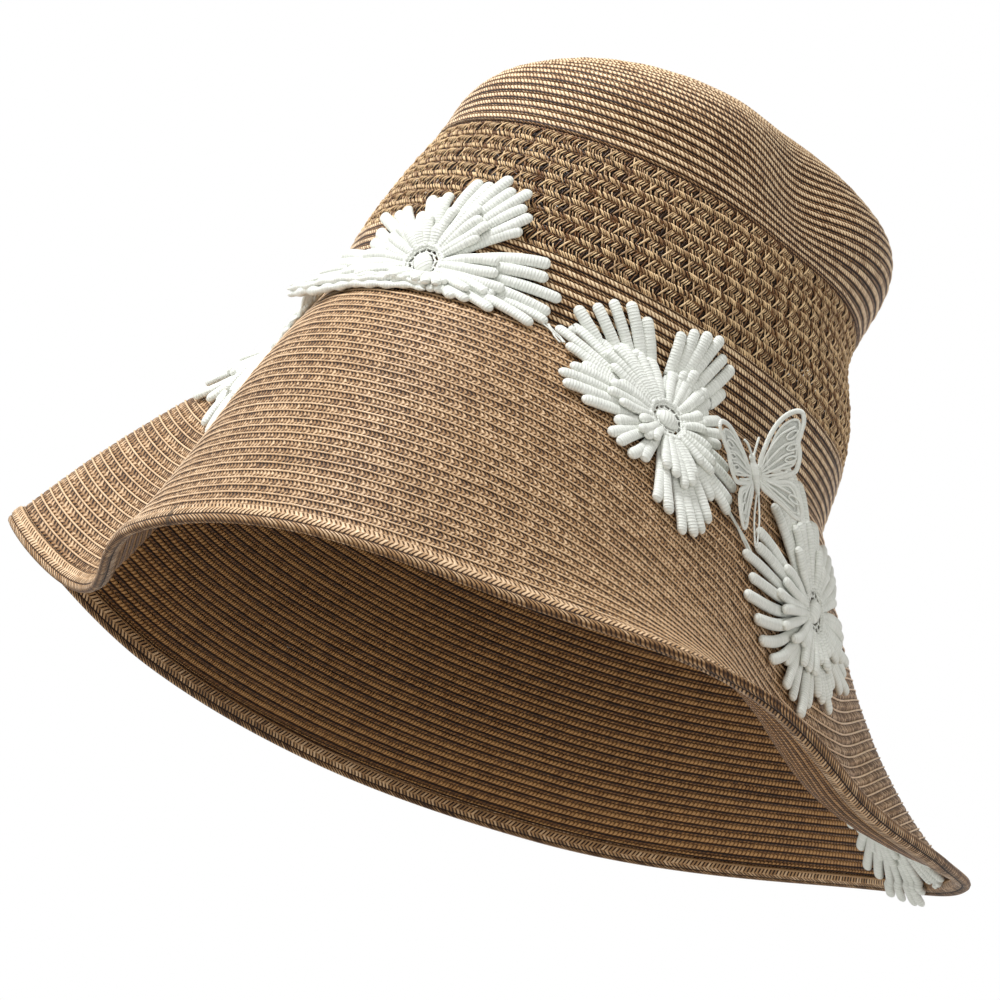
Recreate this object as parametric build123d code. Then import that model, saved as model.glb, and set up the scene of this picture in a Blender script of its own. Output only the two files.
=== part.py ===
"""Woman's sewn-braid straw sun hat with a drooping wired brim and a lace garland.

Frame: millimetres, the origin at the centre of the head opening in the plane of the headline,
+Z up along the crown's axis, -Y towards the wearer's front, +X towards the wearer's left.
Azimuths are degrees from the front towards the wearer's left. A "climb" is a distance along the
hat's profile from the headline: up the crown when positive, out along the brim when negative.
"""
from build123d import *
import math
import os

# ---- head opening and braid
HEAD_WIDTH = 168.0            # side to side between the middles of the straw wall
HEAD_LENGTH = 202.0           # front to back between the middles of the straw wall
BRAID_THICKNESS = 1.8         # one layer of sewn braid
SEAM_GAP = 0.25               # left between one sewn stretch of braid and the next

# ---- crown: its height, and its profile as (share of the head radius, share of the height)
CROWN_HEIGHT = 119.0
CROWN_PROFILE = [
    (1.0, 0.0), (0.992, 0.118), (0.975, 0.244), (0.925, 0.42), (0.868, 0.58), (0.838, 0.706),
    (0.785, 0.79), (0.68, 0.866), (0.53, 0.924), (0.34, 0.966), (0.15, 0.993), (0.0, 1.0),
]
CROWN_LEAN = 4.5              # how much higher the tip is at the back left than at the front right
CROWN_LEAN_AZIMUTH = 140.0
# soft dents that handling leaves: azimuth, height, spread in degrees, spread in height,
# how far in, how far down
CROWN_DENTS = [
    (72.0, 90.0, 20.0, 18.0, 7.0, 6.0),
    (124.0, 88.0, 26.0, 17.0, -3.5, -5.0),
    (128.0, 57.0, 40.0, 15.0, 5.0, 0.0),
    (-20.0, 104.0, 55.0, 13.0, 3.0, 0.0),
]

# ---- how the crown is divided into stretches of braid
SIDE_BRAID_RISE = 22.5        # close rows next to the headline
OPENWORK_ROWS = 7
OPENWORK_PITCH = 6.35         # from one openwork row to the next
TIP_COIL_RADIUS = 11.0        # the first turns of the spiral, at the middle of the crown
TIP_COIL_CREST = 5.5          # how far from the tip the coil begins to flatten

# ---- brim: its width, and its waves as (azimuth, mean droop, droop at the headline, droop at the rim)
BRIM_WIDTH = 127.0
BRIM_WAVES = [
    (-90.0, 70.0, 54.0, 78.0), (-76.0, 58.0, 50.0, 58.0), (-64.0, 53.0, 54.0, 50.0),
    (-52.0, 70.0, 62.0, 66.0), (-40.0, 76.0, 62.0, 82.0), (-26.0, 75.0, 60.0, 70.0),
    (-8.0, 66.0, 56.0, 52.0), (15.0, 57.0, 54.0, 46.0), (40.0, 53.0, 52.0, 42.0),
    (65.0, 47.0, 55.0, -2.0), (90.0, 51.0, 59.0, -26.0), (112.0, 48.0, 57.0, -20.0),
    (135.0, 43.0, 55.0, 22.0), (165.0, 41.0, 48.0, 28.0), (200.0, 57.0, 54.0, 56.0),
    (235.0, 69.0, 60.0, 74.0),
]
BRIM_START = 0.9              # where the brim's braid begins, out from the headline
BRIM_TENSION = 0.36           # share of the width over which each end keeps its droop

# ---- rim: the last braid folded over a wire
RIM_FOLD_OVERLAP = 3.2         # of the fold over the edge of the brim
RIM_FOLD_PLY = 0.9
RIM_FOLD_CLEARANCE = 0.2      # from the brim and the wire to the fold
WIRE_DIAMETER = 1.2
WIRE_END_GAP = 1.0            # between the wire's ends inside the sleeve
SLEEVE_LENGTH = 14.0
SLEEVE_WALL = 0.3
SLEEVE_CLEARANCE = 0.08
WIRE_JOIN_AZIMUTH = 183.75    # in the middle of one of the rim's straight sides
WIRE_CORNERS = 6

# ---- sweatband
SWEATBAND_WIDTH = 28.0
SWEATBAND_THICKNESS = 0.6
SWEATBAND_CLEARANCE = 0.3
SWEATBAND_START = 0.6         # its lower edge, above the headline

# ---- lace motifs: one flower is (azimuth, climb, turn of its petals, 1 or -1 for a mirrored motif,
# side of the straw, lowest climb that its petals reach; the front one is folded under there)
FLOWERS = {
    "flower_front": (0.0, 5.0, -7.0, -1, 1, -9.0),
    "flower_left_front": (51.5, -19.0, 142.0, 1, 1, -BRIM_WIDTH),
    "flower_left_back": (99.5, -36.0, 195.0, 1, 1, -BRIM_WIDTH),
    "flower_right_front": (-58.0, -20.0, 300.0, -1, 1, -BRIM_WIDTH),
    "flower_under_brim": (146.0, 41.0 - BRIM_WIDTH, 300.0, 1, -1, -2.0 - BRIM_WIDTH),
}
# lobes of the motif: middle angle, half spread, reach, petals
LOBES = [
    (0.0, 24.0, 47.0, 6),
    (47.0, 13.0, 35.0, 3),
    (98.0, 16.0, 26.0, 4),
    (151.0, 17.0, 37.0, 4),
    (200.0, 15.0, 33.0, 4),
    (246.0, 12.0, 27.0, 3),
    (292.0, 20.0, 42.0, 5),
]
PETAL_EDGE_REACH = 0.84       # reach of a lobe's outer petals, as a share of its middle ones'
PETAL_ROOT = 7.0              # radius of the ring that the petals grow from
PETAL_ROOT_WIDTH = 1.15
PETAL_WIDTH = 3.0
PETAL_THICKNESS = 1.4
PETAL_TIP_LIFT = 1.3          # how much further from the straw a petal's tip is than its root
PETAL_SAG = 0.4               # how far the straw may rise over a straight petal's middle
PETAL_KNEE_LAP = 0.03         # how far a bent petal's first bar runs past its second one's start
SHORT_PETALS = 9
SHORT_PETAL_REACH = 17.0
SHORT_PETAL_STAGGER = 2.5
SHORT_PETAL_WIDTH = 3.0
SHORT_PETAL_THICKNESS = 1.2
SHORT_PETAL_TIP_LIFT = 3.4
BUTTON_RADIUS = 3.7
BUTTON_HEIGHT = 3.4
BUTTON_SIDES = 8
LACE_STAND = 0.7              # from the straw to the back of the lace at a flower's middle
LACE_LAYER_GAP = 0.75
ROOT_LINKS = 7                # straight bars in the eyelet ring at the petals' roots
ROOT_LINK_WIDTH = 1.7
ROOT_LINK_PROUD = 0.2         # how much thicker than the petals the ring is, on each side
ROOT_LINK_LAP = 0.12          # how far each bar runs past its ends, as a share of its length

# ---- thread bars that tie the motifs into a garland: flower, lobe and petal at each end
LACE_LINKS = {
    "lace_link_right": ("flower_front", 3, 2, "flower_right_front", 6, 2),
    "lace_link_front": ("flower_front", 0, 3, "flower_left_front", 0, 5),
    "lace_link_left": ("flower_left_front", 4, 1, "flower_left_back", 0, 1),
}
LINK_WIDTH = 1.6
LINK_THICKNESS = 0.9
LINK_STAND = 0.9
LINK_BARS = 3                 # straight lengths that a link is made of
LINK_LAP = 0.05               # how far a length runs past the next one's start, as a share of its own
LINK_GAP = 0.7                # from a petal's tip to the link

# ---- butterfly between two flowers: azimuth, climb and height over the straw at each end of its body
BUTTERFLY_TAIL = (74.5, -22.0, 4.4)
BUTTERFLY_HEAD = (70.0, -13.0, 7.0)
BUTTERFLY_TILT = 8.0          # its side next to the back is the higher one
BUTTERFLY_BODY_RADIUS = 1.5
TAIL_THREAD_WIDTH = 0.8
TAIL_THREAD_CLEARANCE = 0.2   # over the petal that the thread is stitched to
TAIL_THREAD_START = 0.1       # how far up the body the thread is tied, as a share of its length
FEELER_REACH = 6.0
FEELER_SPREAD = 3.5
FEELER_LIFT = 1.0
FEELER_WIDTH = 0.7
FEELER_ROOT = 0.8             # where the feelers start, as a share of half the body's length
WING_ROOT = 2.3               # from the body's middle to the line that a wing turns about
WING_REST_LIFT = 20.0
WING_THICKNESS = 0.8
WING_VEIN = 1.3
WING_CORD_RADIUS = 0.5
WING_CORD_LENGTH = 8.0
WING_CORD_MIDDLE = -0.6
# outlines from the root outwards, as (distance from the root, distance towards the head)
FORE_WING = [
    (0.0, -0.6), (0.0, 3.2), (3.2, 9.0), (8.0, 15.0), (12.5, 18.2), (15.4, 18.6), (16.2, 16.0),
    (14.6, 10.5), (11.2, 5.2), (6.5, 1.6),
]
HIND_WING = [
    (0.0, 0.2), (6.5, 1.6), (10.2, 0.2), (11.6, -4.0), (10.4, -9.0), (8.2, -13.4), (6.6, -13.8),
    (4.4, -9.0), (0.0, -3.8),
]
WING_CELLS = [
    [(0.6, 1.4), (3.4, 8.2), (7.2, 13.4), (6.4, 7.0)],
    [(6.4, 7.0), (7.2, 13.4), (11.6, 17.4), (10.2, 10.6)],
    [(10.2, 10.6), (11.6, 17.4), (14.8, 17.6), (14.0, 11.6)],
    [(0.6, 1.4), (6.4, 7.0), (10.2, 10.6), (13.4, 10.2), (10.4, 5.6), (6.2, 2.4)],
    [(0.8, -0.8), (6.4, 0.8), (9.4, -0.6), (6.6, -4.4)],
    [(6.6, -4.4), (9.4, -0.6), (10.8, -4.0), (9.6, -8.8)],
    [(0.8, -0.8), (6.6, -4.4), (9.6, -8.8), (7.4, -12.8), (4.8, -8.6)],
]

# ---- how finely the straw's rings are drawn, in straight sides
CROWN_SIDES = 36
BRIM_SIDES = 48


# ---------------------------------------------------------------- curves

def hermite(a, b, slope_a, slope_b, span, t):
    """Value at share t of a span that starts at a and ends at b with the given slopes."""
    bend = 2 * t ** 3 - 3 * t ** 2
    return (
        a * (1 + bend) - b * bend
        + span * slope_a * (t ** 3 - 2 * t ** 2 + t)
        + span * slope_b * (t ** 3 - t ** 2)
    )


def around(azimuth, column):
    """Smooth value of one column of the brim's waves at an azimuth."""
    count = len(BRIM_WAVES)
    start = BRIM_WAVES[0][0]
    turned = (azimuth - start) % 360.0 + start
    index = max(i for i in range(count) if BRIM_WAVES[i][0] <= turned)

    def station(i):
        return BRIM_WAVES[i % count][0] + 360.0 * (i // count), BRIM_WAVES[i % count][column]

    def slope(i):
        before, after = station(i - 1), station(i + 1)
        return (after[1] - before[1]) / (after[0] - before[0])

    (here, value), (there, next_value) = station(index), station(index + 1)
    span = there - here
    return hermite(value, next_value, slope(index), slope(index + 1), span, (turned - here) / span)


def head_radius(azimuth):
    """Distance from the axis to the middle of the straw at the headline, an oval."""
    across, along = HEAD_WIDTH / 2, HEAD_LENGTH / 2
    s, c = math.sin(math.radians(azimuth)), math.cos(math.radians(azimuth))
    return across * along / math.hypot(along * s, across * c)


def profile_lengths():
    """Length along the crown's mean profile at each of its points."""
    mean = (HEAD_WIDTH + HEAD_LENGTH) / 4
    lengths = [0.0]
    for (r0, z0), (r1, z1) in zip(CROWN_PROFILE, CROWN_PROFILE[1:]):
        lengths.append(lengths[-1] + math.hypot((r1 - r0) * mean, (z1 - z0) * CROWN_HEIGHT))
    return lengths


CROWN_LENGTHS = profile_lengths()
CROWN_CLIMB = CROWN_LENGTHS[-1]
TIP_CLIMB = CROWN_CLIMB - TIP_COIL_RADIUS
OPENWORK_CLIMB = SIDE_BRAID_RISE + OPENWORK_ROWS * OPENWORK_PITCH


def crown_profile(climb):
    """Share of the head radius and height at a climb up the crown."""
    last = len(CROWN_PROFILE) - 1
    index = max(i for i in range(last) if CROWN_LENGTHS[i] <= max(climb, 0.0))

    def slope(i, k):
        a, b = max(i - 1, 0), min(i + 1, last)
        return (CROWN_PROFILE[b][k] - CROWN_PROFILE[a][k]) / (CROWN_LENGTHS[b] - CROWN_LENGTHS[a])

    span = CROWN_LENGTHS[index + 1] - CROWN_LENGTHS[index]
    t = (climb - CROWN_LENGTHS[index]) / span
    share, height = [
        hermite(CROWN_PROFILE[index][k], CROWN_PROFILE[index + 1][k], slope(index, k), slope(index + 1, k), span, t)
        for k in (0, 1)
    ]
    return share, height * CROWN_HEIGHT


def crown_point(azimuth, climb):
    """Point in the middle of the crown's straw, with its lean and its dents."""
    share, height = crown_profile(climb)
    radius = head_radius(azimuth) * share
    lean = CROWN_LEAN * share * (height / CROWN_HEIGHT) ** 2
    rise = lean * math.cos(math.radians(azimuth - CROWN_LEAN_AZIMUTH))
    for middle, level, spread, rise_spread, inward, down in CROWN_DENTS:
        turn = (azimuth - middle + 180.0) % 360.0 - 180.0
        depth = math.exp(-(turn / spread) ** 2 - ((height - level) / rise_spread) ** 2)
        depth *= min(1.0, 1.6 * share)
        radius -= inward * depth
        rise -= down * depth
    angle = math.radians(azimuth)
    return Vector(radius * math.sin(angle), -radius * math.cos(angle), height + rise)


def brim_point(azimuth, climb):
    """Point in the middle of the brim's straw: a curve that droops from the headline to the rim."""
    out = -climb / BRIM_WIDTH
    droop, start, end = [math.radians(around(azimuth, column)) for column in (1, 2, 3)]
    r0 = head_radius(azimuth)
    r3, z3 = r0 + BRIM_WIDTH * math.cos(droop), -BRIM_WIDTH * math.sin(droop)
    handle = BRIM_TENSION * BRIM_WIDTH
    r1, z1 = r0 + handle * math.cos(start), -handle * math.sin(start)
    r2, z2 = r3 - handle * math.cos(end), z3 + handle * math.sin(end)
    a, b, c, d = (1 - out) ** 3, 3 * (1 - out) ** 2 * out, 3 * (1 - out) * out ** 2, out ** 3
    radius, height = a * r0 + b * r1 + c * r2 + d * r3, b * z1 + c * z2 + d * z3
    angle = math.radians(azimuth)
    return Vector(radius * math.sin(angle), -radius * math.cos(angle), height)


def hat_point(azimuth, climb):
    return crown_point(azimuth, climb) if climb >= 0 else brim_point(azimuth, climb)


def hat_frame(azimuth, climb, turn_step=0.5, climb_step=0.5):
    """Point on the straw's middle with its outward normal, eastward and upward directions."""
    low, high = climb - climb_step, climb + climb_step
    if climb >= 0:
        low, high = max(low, 0.0), min(high, CROWN_CLIMB)
    else:
        high = min(high, 0.0)
    side = crown_point if climb >= 0 else brim_point
    east = side(azimuth + turn_step, climb) - side(azimuth - turn_step, climb)
    up = side(azimuth, high) - side(azimuth, low)
    return side(azimuth, climb), east.cross(up).normalized(), east.normalized(), up.normalized()


def offset_point(azimuth, climb, stand):
    point, normal, _, _ = hat_frame(azimuth, climb)
    return point + normal * stand


# ---------------------------------------------------------------- straw

def ring(climb, stand):
    """Closed line of straight sides round the hat at one climb, a distance outside the straw's middle."""
    sides = CROWN_SIDES if climb >= 0 else BRIM_SIDES
    return Wire.make_polygon([offset_point(360.0 * i / sides, climb, stand) for i in range(sides)], close=True)


def section_ring(corners):
    """Closed ring round the hat whose section has the given (climb, stand) corners."""
    loops = [ring(climb, stand) for climb, stand in corners]
    return Solid.make_loft(loops + [loops[0]], ruled=True)


def strip(climbs, thickness, stand=0.0):
    """Strip round the hat through some climbs, centred a distance outside the straw's middle."""
    outside = [(climb, stand + thickness / 2) for climb in climbs]
    inside = [(climb, stand - thickness / 2) for climb in reversed(climbs)]
    return section_ring(outside + inside)


def spread(low, high, count):
    """Evenly spaced climbs from low to high."""
    return [low + (high - low) * i / (count - 1) for i in range(count)]


def tip_coil():
    """Small domed disc where the spiral of braid begins."""
    rim, crest = TIP_CLIMB + SEAM_GAP, CROWN_CLIMB - TIP_COIL_CREST
    half = BRAID_THICKNESS / 2
    tip = crown_point(0.0, CROWN_CLIMB)
    loops = [ring(climb, stand) for climb, stand in ((crest, -half), (rim, -half), (rim, half), (crest, half))]
    ends = [Vertex(*(tip + Vector(0, 0, stand))) for stand in (-half, half)]
    return Solid.make_loft([ends[0], *loops, ends[1]], ruled=True)


# ---------------------------------------------------------------- rim

RIM_CLIMB = -BRIM_WIDTH
RIM_GAP = BRAID_THICKNESS / 2 + RIM_FOLD_CLEARANCE
RIM_OUT = RIM_GAP + RIM_FOLD_PLY
SLEEVE_BORE = WIRE_DIAMETER / 2 + SLEEVE_CLEARANCE
SLEEVE_RADIUS = SLEEVE_BORE + SLEEVE_WALL
WIRE_CLIMB = RIM_CLIMB + RIM_FOLD_PLY + RIM_FOLD_CLEARANCE + SLEEVE_RADIUS
BRIM_EDGE_CLIMB = WIRE_CLIMB + SLEEVE_RADIUS + RIM_FOLD_CLEARANCE


def rim_braid():
    """The last braid, folded lengthways over the wire and the edge of the brim."""
    inner_edge = BRIM_EDGE_CLIMB + RIM_FOLD_OVERLAP
    turn = RIM_CLIMB + RIM_FOLD_PLY
    bevel = 0.5 * RIM_OUT
    return section_ring([
        (inner_edge, RIM_GAP), (inner_edge, RIM_OUT), (RIM_CLIMB + bevel, RIM_OUT), (RIM_CLIMB, bevel),
        (RIM_CLIMB, -bevel), (RIM_CLIMB + bevel, -RIM_OUT), (inner_edge, -RIM_OUT), (inner_edge, -RIM_GAP),
        (turn, -RIM_GAP), (turn, RIM_GAP),
    ])


def wire_side():
    """Frame at the middle of the wire's straight side where its ends meet, z along the wire."""
    half = 180.0 / BRIM_SIDES
    behind, ahead = [offset_point(WIRE_JOIN_AZIMUTH + turn, WIRE_CLIMB, 0.0) for turn in (-half, half)]
    return Plane(origin=(ahead + behind) * 0.5, z_dir=ahead - behind)


def brim_wire():
    """Wire ring that holds the rim's wave, with its two ends a little apart."""
    radius = WIRE_DIAMETER / 2
    turns = [2 * math.pi * i / WIRE_CORNERS for i in range(WIRE_CORNERS)]
    whole = section_ring([(WIRE_CLIMB + radius * math.cos(a), radius * math.sin(a)) for a in turns])
    return whole - wire_side() * Box(4 * radius, 4 * radius, WIRE_END_GAP)


def wire_sleeve():
    """Crimped tube that the two ends of the wire go into."""
    tube = Cylinder(SLEEVE_RADIUS, SLEEVE_LENGTH) - Cylinder(SLEEVE_BORE, SLEEVE_LENGTH)
    return wire_side() * tube


# ---------------------------------------------------------------- lace

def lace_angle(flower, angle):
    """Direction on the straw, 0 for east and 90 for up the crown, of a direction in a motif."""
    _, _, turn, mirror, _, _ = FLOWERS[flower]
    return turn + mirror * angle


def lace_spot(flower, angle, reach):
    """Azimuth and climb of a polar place about a flower's middle."""
    azimuth, climb, _, _, _, _ = FLOWERS[flower]
    a = math.radians(lace_angle(flower, angle))
    middle = hat_point(azimuth, climb)
    radius = math.hypot(middle.X, middle.Y)
    return azimuth + math.degrees(reach * math.cos(a) / radius), climb + reach * math.sin(a)


def lace_place(flower, angle, reach, stand):
    """Point and outward direction of the lace at a polar place about a flower's middle."""
    side = FLOWERS[flower][4]
    azimuth, climb = lace_spot(flower, angle, reach)
    point, normal, _, _ = hat_frame(azimuth, climb)
    outward = normal * side
    folded = climb < BRIM_EDGE_CLIMB + RIM_FOLD_OVERLAP
    straw = RIM_OUT + RIM_FOLD_CLEARANCE if folded else BRAID_THICKNESS / 2
    return point + outward * (straw + stand), outward


def flat_bar(start, end, normal, outline, thickness):
    """Straight flat piece from start towards end, cut to an outline of (share of length, half width)."""
    along = end - start
    length = along.length
    plane = Plane(origin=start, x_dir=along, z_dir=normal - along * (normal.dot(along) / length ** 2))
    near = [(length * share, half) for share, half in outline]
    far = [(x, -y) for x, y in reversed(near)]
    return extrude(plane * make_face(Polyline(*near, *far, close=True)), thickness)


def petal(flower, angle, tip, width, thickness, stand, lift):
    """Bars of one satin-stitched petal: narrow at the root, blunt at the tip and a little lifted there.

    A petal is one bar where the straw under it is nearly straight, and two where it is round.
    """
    spots = []
    for share in (0.0, 0.5, 1.0):
        reach = PETAL_ROOT + (tip - PETAL_ROOT) * share
        spots.append(lace_place(flower, angle, reach, stand + lift * share))
    (start, outward), (knee, knee_outward), (end, tip_outward) = spots
    root_half, tip_half = PETAL_ROOT_WIDTH / 2, width / 2
    if (knee - (start + end) * 0.5).dot(knee_outward) < PETAL_SAG:
        outline = [(0.0, root_half), (1.0, tip_half)]
        return [flat_bar(start, end, (outward + tip_outward).normalized(), outline, thickness)]
    knee_half = (root_half + tip_half) / 2
    return [
        flat_bar(start, knee, (outward + knee_outward).normalized(),
                 [(0.0, root_half), (1.0 + PETAL_KNEE_LAP, knee_half)], thickness),
        flat_bar(knee, end, (knee_outward + tip_outward).normalized(),
                 [(0.0, knee_half), (1.0, tip_half)], thickness),
    ]


def hemmed(flower, angle, reach):
    """Reach of a petal, cut short where it would cross the lowest climb that its flower keeps to."""
    _, climb, _, _, _, hem = FLOWERS[flower]
    fall = -math.sin(math.radians(lace_angle(flower, angle)))
    return min(reach, (climb - hem) / fall) if fall > 0 else reach


def lobe_petal(flower, lobe, number):
    """Angle and reach of one long petal of a lobe."""
    middle, spread, reach, count = LOBES[lobe]
    share = 2.0 * number / (count - 1) - 1.0
    angle = middle + spread * share
    return angle, hemmed(flower, angle, reach * (1 - (1 - PETAL_EDGE_REACH) * share ** 2))


def flower_plane(flower, stand):
    """Plane that touches the straw's surface at a flower's middle, raised by a distance."""
    place, outward = lace_place(flower, 0.0, 0.0, stand)
    ahead, _ = lace_place(flower, 0.0, 1.0, stand)
    along = ahead - place
    return Plane(origin=place, x_dir=along - outward * along.dot(outward), z_dir=outward)


def root_link(flower, angle, thickness, stand):
    """Short bar of the eyelet ring that carries the roots of a layer's petals."""
    step = 360.0 / ROOT_LINKS
    start, outward = lace_place(flower, angle, PETAL_ROOT, stand)
    end, next_outward = lace_place(flower, angle + step, PETAL_ROOT, stand)
    outline = [(-ROOT_LINK_LAP, ROOT_LINK_WIDTH / 2), (1 + ROOT_LINK_LAP, ROOT_LINK_WIDTH / 2)]
    return flat_bar(start, end, (outward + next_outward).normalized(), outline, thickness)


def lace_layer(flower, petals, width, thickness, stand, lift):
    """Petals of one layer, given as angles and reaches, and the thicker ring that joins their roots."""
    bars = [
        bar for angle, reach in petals
        for bar in petal(flower, angle, reach, width, thickness, stand, lift)
    ]
    turns = [360.0 * i / ROOT_LINKS for i in range(ROOT_LINKS)]
    ring_thickness = thickness + 2 * ROOT_LINK_PROUD
    links = [root_link(flower, turn, ring_thickness, stand - ROOT_LINK_PROUD) for turn in turns]
    return links[0].fuse(*links[1:]).fuse(*bars).solid()


def long_petals(flower):
    petals = [lobe_petal(flower, lobe, i) for lobe in range(len(LOBES)) for i in range(LOBES[lobe][3])]
    return lace_layer(flower, petals, PETAL_WIDTH, PETAL_THICKNESS, LACE_STAND, PETAL_TIP_LIFT)


def short_petals(flower):
    petals = []
    for i in range(SHORT_PETALS):
        angle = 360.0 * i / SHORT_PETALS
        petals.append((angle, hemmed(flower, angle, SHORT_PETAL_REACH - SHORT_PETAL_STAGGER * (i % 2))))
    stand = LACE_STAND + PETAL_THICKNESS + LACE_LAYER_GAP
    return lace_layer(flower, petals, SHORT_PETAL_WIDTH, SHORT_PETAL_THICKNESS, stand, SHORT_PETAL_TIP_LIFT)


def lace_link(*ends):
    """Thread bar that follows the straw from one flower's petal tip to a petal tip of the next flower."""
    spots = []
    for flower, lobe, number in (ends[:3], ends[3:]):
        angle, reach = lobe_petal(flower, lobe, number)
        spots.append(lace_spot(flower, angle, reach + LINK_GAP))
    bars = []
    for i in range(LINK_BARS):
        ends = []
        for share in (i / LINK_BARS, (i + 1) / LINK_BARS):
            azimuth, climb = [a + (b - a) * share for a, b in zip(*spots)]
            point, normal, _, _ = hat_frame(azimuth, climb)
            ends.append((point + normal * (BRAID_THICKNESS / 2 + LINK_STAND), normal))
        (start, outward), (end, end_outward) = ends
        outline = [(0.0, LINK_WIDTH / 2), (1.0 + LINK_LAP * (i < LINK_BARS - 1), LINK_WIDTH / 2)]
        bars.append(flat_bar(start, end, (outward + end_outward).normalized(), outline, LINK_THICKNESS))
    return bars[0].fuse(*bars[1:]).solid()


def flower_button(flower):
    """Padded centre of a flower, inside its eyelet ring."""
    plane = flower_plane(flower, LACE_STAND)
    sections = [
        plane.offset(lift * BUTTON_HEIGHT) * RegularPolygon(BUTTON_RADIUS * size, BUTTON_SIDES)
        for lift, size in ((0.0, 0.9), (0.5, 1.0), (1.0, 0.55))
    ]
    return loft(sections, ruled=True)


# ---------------------------------------------------------------- butterfly

def butterfly_ends():
    """Tail and head ends of the butterfly's body."""
    return [
        offset_point(azimuth, climb, BRAID_THICKNESS / 2 + stand)
        for azimuth, climb, stand in (BUTTERFLY_TAIL, BUTTERFLY_HEAD)
    ]


def butterfly_plane():
    """Plane through the butterfly's body: x towards its right wing, y towards its head."""
    tail, head = butterfly_ends()
    up = (head - tail).normalized()
    east = hat_frame(BUTTERFLY_TAIL[0], BUTTERFLY_TAIL[1])[2]
    level = (east - up * east.dot(up)).normalized()
    tilt = math.radians(BUTTERFLY_TILT)
    across = level * math.cos(tilt) + level.cross(up) * math.sin(tilt)
    return Plane(origin=(head + tail) * 0.5, x_dir=across, z_dir=across.cross(up))


def tail_thread():
    """Thread bar from the butterfly's tail to the top of the next flower's nearest petal."""
    flower, lobe, number = LACE_LINKS["lace_link_left"][3:]
    angle, reach = lobe_petal(flower, lobe, number)
    over = LACE_STAND + PETAL_TIP_LIFT + PETAL_THICKNESS + TAIL_THREAD_CLEARANCE
    end, outward = lace_place(flower, angle, reach - PETAL_WIDTH / 2, over)
    tail, head = butterfly_ends()
    outline = [(0.0, TAIL_THREAD_WIDTH / 2), (1.0, TAIL_THREAD_WIDTH / 2)]
    start = tail + (head - tail) * TAIL_THREAD_START
    return flat_bar(start, end, outward, outline, TAIL_THREAD_WIDTH)


def butterfly_body():
    """Stitched body, thickest at the chest, with two feelers and the thread at its tail."""
    plane = butterfly_plane()
    tail, head = butterfly_ends()
    half = (head - tail).length / 2
    outline = [(-1.0, 0.4), (-0.45, 0.85), (0.0, 1.0), (0.4, 0.95), (0.62, 0.6), (0.8, 0.8), (1.0, 0.35)]
    across = Plane(origin=plane.origin, x_dir=plane.x_dir, z_dir=plane.y_dir)
    sections = [
        across.offset(place * half) * RegularPolygon(BUTTERFLY_BODY_RADIUS * size, 6)
        for place, size in outline
    ]
    body = loft(sections, ruled=True)
    face = plane.from_local_coords(Vector(0, FEELER_ROOT * half, 0))
    feelers = [
        flat_bar(
            face,
            plane.from_local_coords(Vector(side * FEELER_SPREAD, FEELER_ROOT * half + FEELER_REACH, FEELER_LIFT)),
            plane.z_dir, [(0.0, FEELER_WIDTH / 2), (1.0, FEELER_WIDTH / 2)], FEELER_WIDTH,
        )
        for side in (-1, 1)
    ]
    return body.fuse(*feelers, tail_thread()).solid()


def wing_plane(side):
    """Plane of a wing: its y axis is the root that the wing turns about, x points to the tip."""
    plane = butterfly_plane()
    root = plane.from_local_coords(Vector(side * WING_ROOT, 0, 0))
    lift = math.radians(WING_REST_LIFT)
    out = plane.x_dir * (side * math.cos(lift)) + plane.z_dir * math.sin(lift)
    return Plane(origin=root, x_dir=out, z_dir=out.cross(plane.y_dir))


def wing_cell(outline, inset):
    """An opening inside a stretch of wing, a border's width in from its outline."""
    return offset(make_face(Polyline(*outline, close=True)), amount=-inset, kind=Kind.INTERSECTION)


def butterfly_wing(side):
    """Fore and hind wing of one side: a border of lace round open cells, and a round root cord."""
    fore = make_face(Polyline(*FORE_WING, close=True))
    hind = make_face(Polyline(*HIND_WING, close=True))
    sheet = fore + hind
    for cell in WING_CELLS:
        sheet -= wing_cell(cell, WING_VEIN / 2)
    plane = wing_plane(side)
    plate = extrude(plane * sheet, WING_THICKNESS / 2, both=True)
    cord_plane = Plane(origin=plane.origin, x_dir=plane.x_dir, z_dir=plane.y_dir)
    cord = cord_plane.offset(WING_CORD_MIDDLE) * Cylinder(WING_CORD_RADIUS, WING_CORD_LENGTH)
    return plate.fuse(cord).solid()


def export(shape, name):
    export_step(shape, os.path.join("parts", name + ".step"))


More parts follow.
